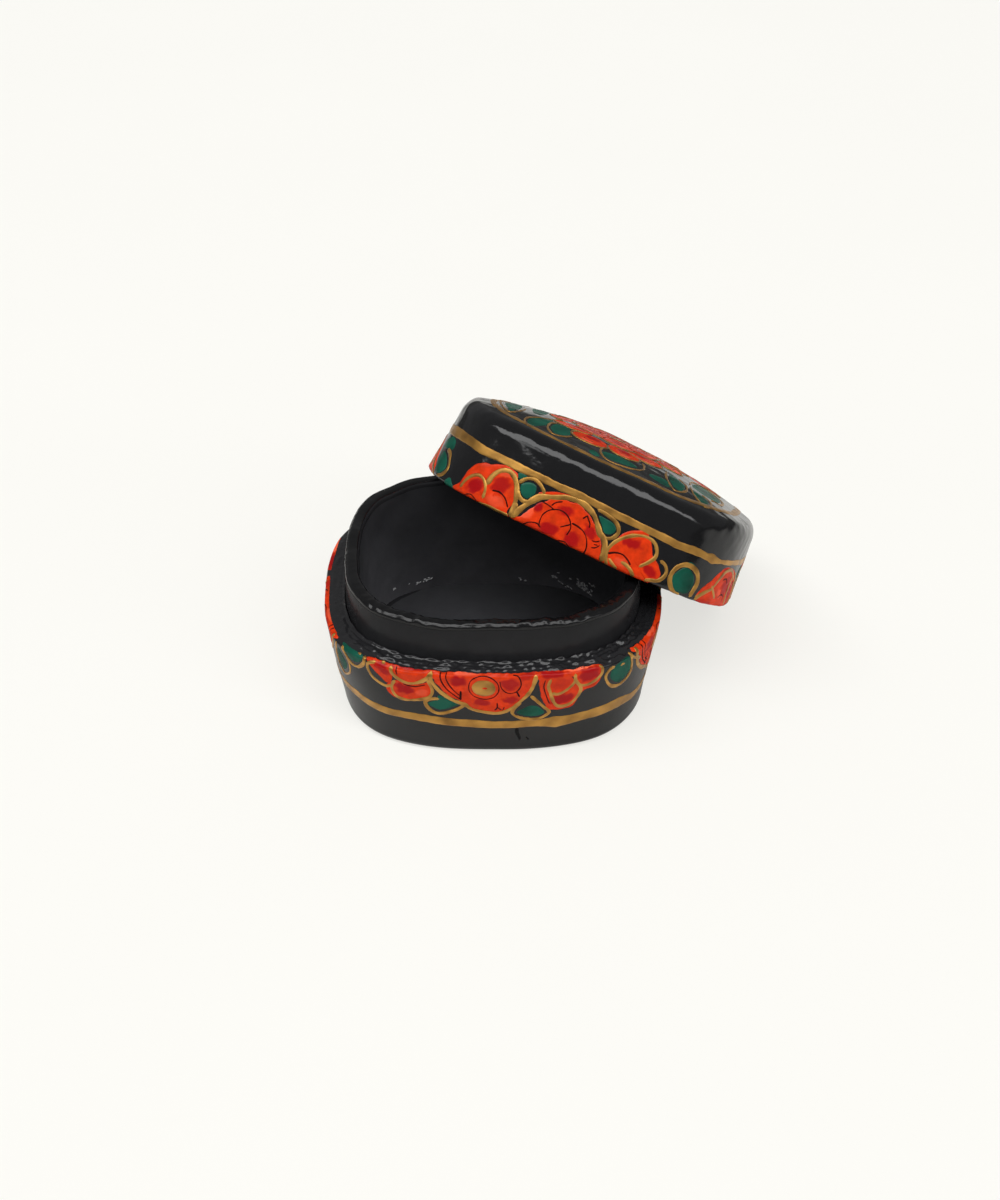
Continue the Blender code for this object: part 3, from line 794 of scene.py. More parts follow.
FOLDED_ROSE = dict(
    orange=[
        ([(-8.8, 7.5), (-6.2, 9), (-3.6, 9.8), (-0.6, 9.9), (-2, 9.2), (-5, 8.3), (-7.4, 7.1)], []),
        ([(-10.6, -0.5), (-9.7, 1.6), (-8.6, 4.2), (-7, 6.2), (-5, 8), (-2.6, 8.7), (0.4, 9), (3, 8), (5.2, 6.6),
          (6.4, 5.1), (8, 4.3), (8.9, 2.4), (9.3, 0.6), (9.3, -0.5)],
         [(-7.5, 4.8, 1, 1.5, 0, 1), (-1.5, 6.5, 1.9, 1, 12, 0.9), (-3.3, 1.4, 2.3, 1.4, 10, 0.95),
          (2.2, 1.6, 1.7, 1.6, 30, 0.95), (5.2, 4.6, 1.8, 1.1, -30, 0.9), (-9, 2.8, 1.1, 1.6, -20, -0.35),
          (-6.6, 0.4, 1.4, 0.8, 0, 0.4)])],
    green=[[(5.4, 8.6), (7.4, 8.6), (9.4, 8.2), (10.1, 7), (9.3, 6), (8, 5.8), (7, 6.8), (6, 7.8)]],
    ink=[
        ([(-5.6, 1), (-5.9, 2.4), (-5.8, 3.8), (-4.8, 5.3), (-3, 6.1), (-1.2, 5.9), (0.1, 5), (0.9, 3.5),
          (0.8, 1.8)], 0.3),
        ([(-7.5, 6.2), (-5.4, 6), (-3.9, 5.6)], 0.28), ([(-5, 6.2), (-4.4, 7.2), (-3, 8.1)], 0.3),
        ([(-1.3, 2.8), (-0.2, 3.7), (0.6, 4.4)], 0.26),
        ([(0.6, 4.7), (2.2, 4.6), (3.8, 4.1), (5.2, 2.8), (5.8, 1.2), (5.8, -0.5)], 0.32),
        ([(-9, -0.4), (-7.8, 0.8), (-6.2, 1.3), (-5, 0.8)], 0.3), ([(-0.8, -0.3), (0.8, 0.4), (2.4, -0.3)], 0.24),
        ([(2.4, 6.5), (3, 7.4)], 0.28), ([(2.9, 7.6), (3.7, 6.8), (4.3, 6.2), (4.6, 5.3)], 0.34),
        ([(6.2, 3.2), (7.2, 3.3), (8, 3.9)], 0.3), ([(6.7, 1.7), (7.6, 2.1), (8.3, 3)], 0.3),
        ([(7, 2.6), (7.9, 2.8)], 0.26), ([(8.9, 4), (9.3, 2.2), (9.4, 0.2)], 0.26)],
    gold=[
        ([(-11.8, 0), (-11.2, 1.8), (-10.4, 3.4), (-9.5, 5.1), (-8.2, 6.8), (-6.6, 7.6), (-4.6, 8.4), (-2.4, 9.3),
          (0.2, 9.6), (2.6, 9.1), (4.6, 8), (6, 6.6), (7.2, 5.3), (8.4, 4.8), (9.3, 3.6), (9.8, 2),
          (9.9, -0.3)], 1.15),
        ([(-12.3, 3.6), (-12, 1.8), (-11.4, 0.6)], 0.9),
        ([(4.4, 9.7), (6.8, 9.5), (9, 9), (10.4, 8), (10.8, 6.8), (10, 5.4), (8.6, 4.8)], 0.85)])

BUD = dict(
    orange=[
        ([(10.2, -0.5), (10.4, 1.8), (10.8, 4.6), (11.8, 7.2), (13.2, 8.6), (15.6, 9.7), (16.9, 9.6), (18.2, 8),
          (19.1, 6.6), (20, 5.2), (21.6, 4.2), (22.7, 2.6), (22.5, 1.2), (21, -0.2), (20.6, -0.6)],
         [(14.5, 6.2, 2.2, 1, 8, 0.95), (20.2, 2.3, 2.1, 1, -28, 0.95), (14, 1.6, 1.6, 0.9, 0, -0.2),
          (11.2, 6.2, 0.5, 1.8, -10, 0.4)])],
    ink=[([(10.6, 2.2), (12, 3), (13.6, 3.3), (15, 2.7), (16, 1.9)], 0.34)],
    gold=[
        ([(11.4, -0.4), (10.5, 1.6), (10.4, 3.6), (11.4, 5.6), (13, 7.2), (15, 8.3), (17, 8.7), (19, 8.2),
          (20.2, 6.8), (20.3, 5.4), (19.4, 4), (18.4, 3), (17.7, 2.2)], 0.75),
        ([(13.8, 1.8), (15.4, 1.5), (16.8, 0.6), (17.6, -0.5)], 0.75),
        ([(11.2, 1.4), (12.4, 0.6), (13.8, -0.2)], 0.65),
        ([(21.5, 5.2), (23, 4.8), (23.9, 3.6), (23.8, 2.2), (22.6, 1), (21, 0.6), (19.8, 0)], 0.8)])

ROUND_LEAF = dict(
    green=[
        [(25.8, 2.8), (26.6, 4.6), (28, 5.8), (29.8, 5.7), (31.5, 4.4), (31.8, 2.6), (31, 1), (29.4, 0.3),
         (27.6, 0.4), (26.4, 1.3)],
        [(28, 6.9), (29.2, 7.4), (30.6, 7), (29.4, 6.5)]],
    gold=[
        ([(29.8, -0.5), (27.8, -0.1), (26.2, 1), (25.3, 2.8), (25.8, 4.8), (27.1, 6.1), (29, 6.6), (31, 6.2),
          (32.4, 5), (32.8, 3.4), (32.4, 1.8), (32, 0.3)], 1)])

LONG_FLOWER = dict(
    orange=[
        ([(33.8, 0.2), (34.6, 2.6), (36.6, 4.6), (39, 6.8), (41.2, 8.4), (44, 8.9), (48, 8.6), (52, 7), (54.5, 4),
          (54.6, 1), (53, -0.4), (44, -0.4), (38, -0.5)],
         [(45.8, 4.6, 2.6, 2.2, 30, 0.75), (42.2, 8.2, 1.5, 0.6, 0, 0.7), (37.4, 0, 3.2, 0.8, 0, 0.6),
          (43.6, 3, 1.6, 1.3, 0, -0.35), (51, 3.6, 1.8, 2, 0, 0.8)])],
    ink=[
        ([(42.4, 5.8), (44.2, 6.2), (45.6, 5.2)], 0.26), ([(43, 1.8), (44.4, 2.6), (46, 2.4), (47.2, 1.2)], 0.26),
        ([(50.2, 5.6), (51.8, 5.8), (53, 4.8)], 0.26)],
    gold=[
        ([(33.6, 0.2), (34.6, 1.3), (36.4, 2.4), (38.2, 3.4), (39.6, 4.8), (41, 6.6), (42.6, 7.8), (45, 8.4),
          (47.8, 7.9), (50.6, 6.2)], 0.8),
        ([(37.9, 4.2), (39.4, 3), (40.4, 2.2), (41.4, 1.5)], 0.7), ([(48.6, 6.8), (48.2, 3.6), (49.4, 0.4)], 0.7),
        ([(50.6, 7.9), (53.6, 6.4), (55.3, 4), (55.2, 0.6)], 0.8)])

LEAVES_CORNER = dict(
    green=[
        [(-41.8, 8.4), (-38.6, 9.5), (-36, 9), (-35, 7.6), (-36, 6.9), (-39, 6.6), (-41.5, 6.9)],
        [(-40.2, 5.4), (-38, 5.7), (-35.6, 4.9), (-34, 3.2), (-35, 1.5), (-37.4, 0.9), (-39.4, 1.8)]],
    gold=[([(-37.6, 6.7), (-35.4, 6.1), (-33.8, 4.5), (-33, 2.8), (-34, 1.3), (-36.2, 0.5)], 0.75)])


# The gold bands: their middles (s, t), and their widths (s, width)

BASE_BAND = dict(
    middles=[
        (-45, 12.4), (-38, 12.2), (-34, 12), (-30, 12.4), (-25, 12.5), (-20, 12.3), (-15, 12.4), (-10, 12.9),
        (-5, 13.4), (0, 13.8), (4, 13.8), (8, 13.4), (12, 13.2), (15, 13.3), (20, 12.9), (25, 12.9), (30, 12.9),
        (33, 13.3), (36, 13.9), (41, 13.8), (60, 12.8), (95, 12.6), (125, 13.1), (160, 12.7), (190, 12.9)],
    widths=[
        (-45, 1.9), (-30, 2.2), (-10, 2.3), (10, 2.1), (12.6, 2.8), (14.2, 3.5), (16, 2.9), (22, 2.6), (29, 3),
        (31, 3.2), (34, 2.4), (38, 1.7), (48, 2), (80, 2), (100, 2.5), (104, 2.1), (150, 2.2), (180, 2.5),
        (200, 2)])

LID_BAND = dict(
    middles=[
        (-45, 10.8), (-36, 10.8), (-30, 10.7), (-24, 10.4), (-10, 10.6), (0, 10.8), (8, 10.4), (15, 10.2),
        (24, 9.9), (30, 9.9), (35, 9.75), (38, 9.7), (44, 10), (50, 10.4), (80, 10.6), (110, 10.2), (140, 10.5),
        (170, 10.3)],
    widths=[
        (-45, 2), (-35, 2.3), (-30, 2.1), (-24, 1.9), (-10, 1.7), (0, 1.5), (8, 1.6), (30, 1.7), (33, 1.6),
        (35, 2.2), (36.6, 1.6), (38, 1.1), (46, 1.2), (60, 1.7), (90, 1.5), (93, 2.2), (96, 1.6), (130, 1.8),
        (180, 1.6)])

# Widths and heights of the lines that the hand draws again and again
INK_WIDTH, INK_HEIGHT, GOLD_HEIGHT = 0.28, 0.03, 0.09
HEART_STAND, EYE_STAND = 0.04, 0.07          # a gold heart lies on its petals, and an orange eye on the heart


class Hand:
    """The painter's hand on one skin: it paints a motif again, moved along the seam, mirrored or
    not, and never quite the same way. limit is the least t of its shapes, and pen the share of
    the drawn width that its gold lines have."""

    def __init__(self, skin, orange, green, gold, ink, limit, pen):
        self.skin, self.limit, self.pen = skin, limit, pen
        self.orange, self.green, self.gold, self.ink = orange, green, gold, ink

    def ink_line(self, points, width=INK_WIDTH, closed=False):
        self.ink.line(self.skin, points, width, INK_HEIGHT, closed=closed)

    def gold_line(self, points, width, closed=False):
        self.gold.line(self.skin, points, width, GOLD_HEIGHT, closed=closed)

    def moved(self, points, shift, mirrored, seed):
        """The points mirrored or not, made a little different by a seed above 0, and shifted."""
        points = np.array(points, dtype=float) * [-1 if mirrored else 1, 1]
        if seed:
            points += 0.35 * np.stack([waves(points, 16.0, seed), waves(points, 16.0, seed + 1)], axis=1)
        return points + [shift, 0]

    def paint_round(self, plan):
        """The motifs of each entry of the plan, at its shift, mirrored or not, and from its seed."""
        for motifs, *where in plan:
            for motif in motifs:
                self.paint(motif, *where)

    def paint(self, motif, shift, mirrored, seed):
        """One motif, each colour over the ones before it."""
        def place(points):
            return self.moved(points, shift, mirrored, seed)

        def dabs_of(dabs):
            flip = -1 if mirrored else 1
            return [(*place([(u, v)])[0], length, width, turn * flip, strength)
                    for u, v, length, width, turn, strength in dabs]

        for outline, dabs in motif.get("orange", []):
            self.orange.fill(self.skin, place(outline), dabs_of(dabs), limit=self.limit)
        for outline in motif.get("green", []):
            self.green.fill(self.skin, place(outline), limit=self.limit)
        for points, width in motif.get("rings", []):
            self.ink_line(place(points), width, closed=True)
        for points, width in motif.get("ink", []):
            self.ink_line(place(points), 1.2 * width)
        for outline in motif.get("discs", []):
            self.gold.fill(self.skin, place(outline), stand=HEART_STAND)
        for outline, dabs in motif.get("dots", []):
            self.orange.fill(self.skin, place(outline), dabs_of(dabs), stand=EYE_STAND)
        for points, width in motif.get("gold", []):
            self.gold_line(place(points), width * self.pen)


def paint_band(skin, gold, middles, widths, seed):
    """A gold band all the way round a side. Its middle and width follow the given places, (s, t)
    and (s, width), and waver a little between them."""
    s = np.linspace(0, ROUND, 420, endpoint=False)
    middles, widths = np.array(middles), np.array(widths)
    here = np.where(s > ROUND / 2, s - ROUND, s)
    t = np.interp(here, middles[:, 0], middles[:, 1], period=ROUND)
    width = np.interp(here, widths[:, 0], widths[:, 1], period=ROUND)
    ring = np.stack([np.cos(math.tau * s / ROUND), np.sin(math.tau * s / ROUND)], axis=1) * ROUND / math.tau
    upper = t - width / 2 + 0.07 * waves(ring, 9.0, seed) + 0.035 * waves(ring, 2.0, seed + 1)
    lower = t + width / 2 + 0.07 * waves(ring, 7.0, seed + 2) + 0.035 * waves(ring, 2.0, seed + 3)
    section = np.array([0, 0.04, 0.15, 0.35, 0.5, 0.65, 0.85, 0.96, 1])
    ridge = np.array([-0.02, 0.75, 0.95, 0.85, 0.9, 0.85, 0.95, 0.75, -0.02])
    across = upper[:, None] + section[None, :] * (lower - upper)[:, None]
    grain = waves(np.stack([s[:, None] + 0 * across, across * 3], axis=-1), 1.5, seed + 4)
    lift = np.where(ridge[None, :] < 0, -0.01, 0.08 * ridge[None, :] + 0.01 * grain)
    body = skin.raised(np.broadcast_to(s[:, None], across.shape), across, lift).reshape(-1, 3)
    quads = grid_faces(len(s) + 1, len(section), False) % len(body)
    tint = 0.5 + 0.5 * waves(np.stack([np.repeat(s, len(section)), across.ravel()], axis=1), 5.0, seed)
    gold.gather(body, quads, NO_FANS, tint, skin.side > 0)


def paint_wash(coat, floor, wall):
    """A plain coat over the whole inside: a disc on the floor, and a band round the collar's inner
    side. It is lighter than the black outside, and its band lighter again towards the floor: painted
    light against the shade inside the box."""
    angle = np.linspace(0, math.tau, 48, endpoint=False)
    reach = (COLLAR_HALF - COLLAR_WALL - COLLAR_DRAFT + 0.4) * plan_stretch(angle)
    coat.fill(floor, np.stack([reach * np.cos(angle), reach * np.sin(angle)], axis=1), [(0, 0, 99, 99, 0, 0.22)])
    # Painted light: the band's tint falls from 0.65 at its foot to 0.25 at its top, against the shade low in the box
    paint_wall(coat, wall, 0, COLLAR_TOP - FLOOR - 1.5, 0.65, 0.25)


def paint_wall(coat, wall, foot, top, tint, top_tint):
    """A plain coat all round a side, from one t to another, and from one tint to another."""
    s, t = np.arange(500) * ROUND / 500, np.linspace(foot, top, math.ceil(abs(top - foot) / 0.8))
    band = wall.raised(s[None, :], t[:, None], 0.05).reshape(-1, 3)
    shade = np.repeat(np.linspace(tint, top_tint, len(t)), len(s))
    coat.gather(band, grid_faces(len(t), len(s), True), NO_FANS, shade, True)


# Each patch of painted highlights low on the inner wall, pale flecks that stand in for the lamp's
# glints: its place round the seam, its height above the wall's foot, half length, half width, turn,
# and number of flecks
GLINT_PATCHES = [(157.8, 3.1, 0.4, 0.35, 0, 4), (151.9, 2.3, 0.3, 0.25, 0, 1), (146.3, 2.4, 2.9, 0.35, -8, 15),
          (116.9, 1.6, 0.35, 0.3, 0, 2), (115.4, 1.3, 0.3, 0.25, 0, 2), (106.3, 2.8, 0.4, 0.4, 0, 4),
          (104.7, 4.3, 0.25, 0.25, 0, 1), (104.6, 2.1, 1.5, 0.25, 24, 6), (101.3, 0.9, 1.0, 0.3, 8, 5),
          (101.0, 3.3, 0.35, 0.35, 0, 3), (95.4, 2.6, 3.2, 0.95, 10, 44), (92.4, 4.2, 1.7, 0.35, 11, 8)]


def paint_glint_flecks(coat, wall):
    """Painted highlights: pale flecks scattered over each patch, all turned nearly the same way."""
    rng = np.random.default_rng(610)
    for u, v, long, short, turn, count in GLINT_PATCHES:
        c, s = math.cos(math.radians(turn)), math.sin(math.radians(turn))
        for _ in range(count):
            a, b = rng.uniform(-long, long), rng.uniform(-short, short)
            x, y = u + a * c - b * s, v + a * s + b * c
            stroke, wide = rng.uniform(0.25, 0.6), rng.uniform(0.11, 0.22)
            lean = math.radians(turn + rng.uniform(-25, 25))
            along = np.array([math.cos(lean), math.sin(lean)])
            aside = np.array([-along[1], along[0]]) * wide
            outline = [(x, y) - along * stroke, (x, y) + aside, (x, y) + along * stroke, (x, y) - aside]
            coat.fill(wall, outline, stand=0.06)


# The lid's top: a bunch of petals round an open flower, leaves, and a gold ring inside the shoulder

TOP_PETALS = [
    (-5, -20.6, 4.4, 3.6), (2.8, -18.9, 3.9, 3.6), (7.2, -13.9, 4.2, 3.5), (-10.2, -14.5, 4.6, 3.4),
    (-14.6, -3.6, 3, 6), (-12.4, 6, 4.2, 3.6), (-6.2, 10.8, 4.2, 3.7), (1.6, 12.2, 4.2, 3.6),
    (8.8, 8.6, 4.4, 3.6), (12.6, 1, 4.2, 3.6), (12, -6.9, 4, 3.4)]

TOP_LEAVES = [
    ([(-17.6, -29.4), (-18.8, -26.2), (-18.6, -22.6), (-17, -18.9), (-14.9, -16.2), (-14.6, -19.9),
      (-14.8, -24.2), (-16, -27.5)],
     [(-14.8, -15.8), (-17.6, -19.3), (-19.4, -23.5), (-19.2, -27.3), (-17.6, -30.5)]),
    ([(-12.2, -27.7), (-13.7, -24.2), (-13.5, -20.4), (-12, -17.6), (-10.9, -18.3), (-9.7, -21), (-9.2, -24.6),
      (-10.6, -27.1)],
     [(-13.6, -18.3), (-14.5, -21.6), (-14.1, -25.8), (-12.4, -28.8), (-10.2, -27.9), (-8.5, -24.8)]),
    ([(-0.8, -26), (0.4, -24.4), (2.8, -23.5), (5.6, -23.9), (7.4, -25.4), (6.6, -27), (4, -28.4), (1.4, -28.7),
      (-0.4, -27.5)],
     [(-1.5, -22.7), (-1.4, -25.2), (-0.6, -27.9), (1.2, -30), (4.2, -30), (7.4, -28.1), (8.8, -25), (8.5, -21.8),
      (7.6, -19.7)]),
    ([(-3.3, -29.6), (-2.8, -27.7), (-1.6, -28.1), (-0.6, -29.6), (-1, -30.8), (-2.3, -30.9)], None),
    ([(10.6, -25.8), (11.8, -24.2), (14, -23.5), (15.4, -24.4), (16.2, -26.2), (15.4, -27.9), (13, -28.2),
      (11.2, -27.3)], None),
    ([(13.8, -15.3), (15.8, -16.6), (17.9, -18.9), (18.6, -22.6), (18.1, -25.4), (16.6, -25), (15.2, -22.5),
      (14.2, -18.9)],
     [(12.8, -15.3), (13.5, -19.5), (14.8, -23.5), (16.9, -27.1), (18.6, -25.2), (19.2, -22.1), (18.2, -17.9),
      (16, -15.1)]),
    ([(19.9, -17.4), (22, -17.7), (24, -19.5), (24.6, -22.1), (24, -24.6), (22.4, -23.3), (21, -21), (20, -18.9)],
     [(19.2, -16.8), (20.6, -21), (22.6, -24.2), (24.6, -25.8), (25.4, -22.5), (24.6, -18.9), (22.4, -16.6)]),
    ([(-27.6, 3.4), (-28.2, -3.2), (-27.2, -10.5), (-25.4, -17.4), (-23.8, -21), (-23, -16.8), (-23.4, -9.5),
      (-25, -2.1)],
     [(-28.6, 4.4), (-29.2, -3.6), (-28.1, -11.6), (-26, -18.7), (-23.6, -22.9), (-22.1, -17.9), (-22.2, -11.6)]),
    ([(-21.2, 4.6), (-21.8, -2.1), (-21.2, -8.4), (-19.6, -14.5), (-18.2, -14.3), (-17.8, -8.4), (-18.4, -1.1),
      (-19.6, 4)], None),
    ([(19.4, -13.2), (19.6, -7.8), (21.6, -3.4), (24.6, -2.7), (26.2, -6.3), (26, -11.6), (24, -14.5),
      (21.4, -14.7)],
     [(18.6, -13), (18.8, -7.4), (21.2, -2.5), (24.8, -1.9), (27, -6.3), (26.6, -12.2), (24.6, -15.3)]),
    ([(-24.6, 9.4), (-26, 13.2), (-25.6, 17.6), (-23.4, 21.4), (-21.6, 18.6), (-21.4, 13.6), (-22.6, 10)],
     [(-24.4, 8.2), (-27, 13), (-26.6, 18.4), (-23.4, 22.6), (-20.6, 18.8)]),
    ([(-17.8, 13), (-18.8, 17.4), (-17.6, 22.4), (-15, 26.4), (-13.4, 22.4), (-13.8, 17.4), (-15.6, 13.6)],
     [(-18.6, 12.6), (-19.8, 17.6), (-18.4, 23.4), (-15, 27.8), (-12.4, 23.2), (-12.8, 17)]),
    ([(-8.6, 18.4), (-10, 22), (-8.8, 26), (-5.6, 27.4), (-4.6, 23.6), (-5.8, 19.6)],
     [(-9.4, 17.4), (-11, 22), (-9.4, 27), (-5.2, 28.6), (-3.6, 23.8)]),
    ([(-0.8, 20.6), (0.4, 24), (3.6, 26.4), (7.6, 26), (6.8, 22.6), (3.6, 19.8), (0.8, 19)],
     [(-1.8, 19.6), (-0.6, 24.6), (3.2, 27.6), (8.8, 27)]),
    ([(10.6, 16.4), (11, 21), (13.8, 25), (17.6, 25.2), (17.8, 21), (15.4, 17.4), (12.8, 15.6)],
     [(9.6, 15.6), (10, 21.4), (13.4, 26.2), (18.8, 26.4), (19, 21)]),
    ([(22.4, 13.6), (20.4, 17), (21, 21), (23.8, 21), (26, 17.6), (26.2, 13.6), (24.6, 11.8)],
     [(21.6, 13), (19.4, 17.2), (20.2, 22), (24.4, 22.2), (27.2, 18)])]


def round_outline(u, v, reach_u, reach_v, lobes, dent, turn, count=40):
    """A closed outline round (u, v): an ellipse whose reach is cut in by dent between lobes."""
    angle = np.linspace(0, math.tau, count, endpoint=False)
    cut = 1 - dent * (1 - np.abs(np.cos(lobes * (angle - turn) / 2)) ** 0.6)
    return np.stack([u + reach_u * cut * np.cos(angle), v + reach_v * cut * np.sin(angle)], axis=1)


def paint_petal(hand, u, v, across, along, seed):
    """One loose petal: an orange oval with a crimson dab towards the middle of the bunch, a coral
    edge, a short ink arc and a gold outline."""
    rng = np.random.default_rng(seed)
    facing = math.atan2(v + 4, u + 1)
    inward = (u - 1.3 * math.cos(facing), v - 1.3 * math.sin(facing))
    outward = (u + 2.0 * math.cos(facing), v + 2.0 * math.sin(facing))

    def curve(share, half_turn, count):
        angles = np.linspace(facing - half_turn, facing + half_turn, count)
        return np.stack([u + share * across * np.cos(angles), v + share * along * np.sin(angles)], axis=1)

    outline = round_outline(u, v, across, along, 3, 0.08, rng.uniform(0, 6))
    dabs = [(*inward, across * 0.48, along * 0.40, rng.uniform(-30, 30), 0.95),
            (*outward, across * 0.35, along * 0.3, rng.uniform(-30, 30), -0.45)]
    hand.orange.fill(hand.skin, outline, dabs)
    hand.ink_line(curve(0.42, 0.8, 5))
    hand.gold_line(curve(1.02, 1.9, 11), 0.7 * hand.pen)


def paint_flower(hand, u, v, radius, petals, turn):
    """A whole flower: a scalloped orange ground, on each petal a crimson dab and an ink edge, an
    inner ring of petals in ink, a gold outline, and a gold heart with an orange eye."""
    angles = turn + np.arange(petals) * math.tau / petals

    def at(share, angle):
        return u + share * radius * math.cos(angle), v + share * radius * math.sin(angle)

    def outline(share, *shape):
        return round_outline(u, v, share * radius, share * radius, *shape)

    dabs = [(*at(0.66, a), 0.17 * radius, 0.13 * radius, math.degrees(a) + 90, 0.95) for a in angles]
    dabs += [(*at(0.88, a + 0.12), 0.12 * radius, 0.06 * radius, math.degrees(a) + 90, -0.5) for a in angles]
    hand.orange.fill(hand.skin, outline(1, petals, 0.14, turn, 12 * petals), dabs)
    for a in angles:
        side = a + math.pi / petals
        hand.ink_line([at(0.46, side + 0.10), at(0.62, side + 0.02), at(0.84, side + 0.05)])
    hand.ink_line(outline(0.46, petals, 0.22, turn, 8 * petals), closed=True)
    hand.ink_line(outline(0.27, 2, 0.05, 0.4, 14), closed=True)
    hand.gold_line(outline(1.02, petals, 0.14, turn, 12 * petals), 0.75, closed=True)
    hand.gold.fill(hand.skin, outline(0.19, 5, 0.06, 0.2, 16), stand=HEART_STAND)
    hand.orange.fill(hand.skin, outline(0.06, 2, 0.1, 0, 8), [], stand=EYE_STAND)


def paint_top(hand):
    """The bunch on the lid's top: loose petals round a flower, a bud beside it, and the leaves."""
    for number, petal in enumerate(TOP_PETALS):
        paint_petal(hand, *petal, 300 + number)
    paint_petal(hand, 20.4, 6.6, 4.6, 4.0, 330)
    paint_flower(hand, -1.0, -4.0, 11.0, 7, 0.35)
    for leaf, outline in TOP_LEAVES:
        hand.green.fill(hand.skin, leaf)
        if outline:
            hand.gold_line(outline, 0.7 * hand.pen)
    angle = np.linspace(0, math.tau, 60, endpoint=False)
    reach = 31.1 * plan_stretch(angle)
    towards_front = np.where(np.sin(angle) < 0, 1.04, 1.0)
    ring = np.stack([0.975 * reach * np.cos(angle), towards_front * reach * np.sin(angle)], axis=1)
    hand.gold_line(ring, 1.6, closed=True)


# Finishes

def painted_tint(tree):
    """The tint that write_mesh gives each point."""
    return add(tree, "ShaderNodeAttribute", attribute_name="tint").outputs["Fac"]


def bumps(tree, height, depth, strength=0.8):
    """A bump normal from this height, where 1 is depth millimetres."""
    inputs = {"Strength": strength, "Distance": depth * MM, "Height": height}
    return add(tree, "ShaderNodeBump", inputs).outputs[0]


def varnish_over(tree, tone, weight, rough, normal=None):
    """The shader of a matt colour under a clear varnish."""
    inputs = {"Base Color": tone, "Roughness": 0.5, "Specular IOR Level": 0.0, "Coat Weight": weight,
              "Coat IOR": 1.5, "Coat Roughness": rough}
    if normal is not None:
        inputs.update({"Normal": normal, "Coat Normal": normal})
    return add(tree, "ShaderNodeBsdfPrincipled", inputs)


def black_lacquer(name, dark, light, gloss, rough, lump_depth):
    """Black lacquer on pasted paper: brushed on in coats, rubbed down and varnished. The eye sees
    a deep black whose sheen the brush marks and the lumps of pulp below break up. Each vertex's
    tint, 0 to 1, goes from the dark tone to the light one. The lighter tones inside the base are
    painted light against the shade there, and those towards the base's foot a painted reflection
    of the pale ground. The wash inside has no varnish over it, the collar's dulled face has lost
    most of it, and the run is a drop of varnish that dried duller than the rest."""
    material, tree = new_material(name)
    share = calculated(tree, "MULTIPLY_ADD", clouds(tree, 6.0, 5.0, 0.65), 0.7, 0.65)
    share = calculated(tree, "MULTIPLY", share, painted_tint(tree), clamp=True)
    height = calculated(tree, "MULTIPLY_ADD", clouds(tree, 2.6, 2.0), 5.0, clouds(tree, 0.7, 2.0))
    normal = bumps(tree, height, lump_depth / 5, 1.0)
    return surfaced(material, varnish_over(tree, mixed(tree, share, dark, light), gloss, rough, normal))


def glint_fleck_paint():
    """Pale flecks painted inside the box as highlights, in place of the lamp's glints on the
    lacquer. The eye sees small chalky flecks, whiter in the middle."""
    material, tree = new_material("painted_glint_flecks")
    tone = mixed(tree, clouds(tree, 0.4, 3.0), "#8c8c90", "#f0f0f0")
    return surfaced(material, add(tree, "ShaderNodeBsdfPrincipled", {"Base Color": tone, "Roughness": 0.8}))


def vermilion_paint():
    """Vermilion pigment in gum, brushed on the lacquer and varnished over. The eye sees a bright
    orange red, with crimson glazes dabbed on wet and a few pale coral touches, thin at the edges.
    Some coral touches are painted highlights, where the lamp's sheen lies on the petals."""
    material, tree = new_material("vermilion_gum_paint_varnished")
    tint, streaks = painted_tint(tree), clouds(tree, 2.2, 4.0, 0.6)
    ground = mixed(tree, streaks, "#7d2009", "#f23e10")
    glazed = mixed(tree, calculated(tree, "MAXIMUM", tint, 0.0), ground, "#940c10")
    # Coral: partly the painter's touches, partly painted highlights
    coral_and_painted_highlight = mixed(tree, calculated(tree, "MULTIPLY", tint, -1.0, clamp=True), glazed, "#f9704f")
    return surfaced(material, varnish_over(tree, coral_and_painted_highlight, 0.22, 0.18, bumps(tree, streaks, 0.02)))


def leaf_green_paint():
    """Green pigment in gum, varnished. The eye sees a deep bluish green that is darker where the
    black lacquer shows through the thin parts of the stroke."""
    material, tree = new_material("leaf_green_gum_paint_varnished")
    streaks = clouds(tree, 2.6, 4.0, 0.6)
    both = calculated(tree, "MULTIPLY_ADD", painted_tint(tree), 0.45, streaks, clamp=True)
    tone = mixed(tree, both, "#06231b", "#145040")
    return surfaced(material, varnish_over(tree, tone, 0.22, 0.18, bumps(tree, streaks, 0.02)))


def bronze_gold_paint():
    """Bronze powder in gum, drawn with a fine brush: raised, dull and grainy. The eye sees an old
    gold that is browner where the powder lies thin. The flakes, about 0.05 mm, are drawn at 0.3 mm
    so that they show."""
    material, tree = new_material("bronze_powder_gold_paint")
    flakes = clouds(tree, 0.3, 2.0)
    both = calculated(tree, "MULTIPLY_ADD", painted_tint(tree), 0.4, clouds(tree, 3.0, 3.0), clamp=True)
    inputs = {"Base Color": mixed(tree, both, "#573a18", "#b3853f"), "Metallic": 0.75, "Specular IOR Level": 0.3,
              "Roughness": stretched(tree, flakes, 0.0, 1.0, 0.30, 0.50), "Normal": bumps(tree, flakes, 0.02)}
    return surfaced(material, add(tree, "ShaderNodeBsdfPrincipled", inputs))


def ink_line_paint():
    """Lamp-black ink, drawn over the petals with a single-hair brush. The eye sees a brown black,
    with the red coming through where the brush ran dry."""
    material, tree = new_material("lamp_black_ink")
    dry = stretched(tree, clouds(tree, 1.5, 3.0), 0.5, 0.75)
    return surfaced(material, varnish_over(tree, mixed(tree, dry, "#1c0808", "#4a120b"), 0.1, 0.2))


# Making of the object

place_camera()
lay_ground()
set_light()

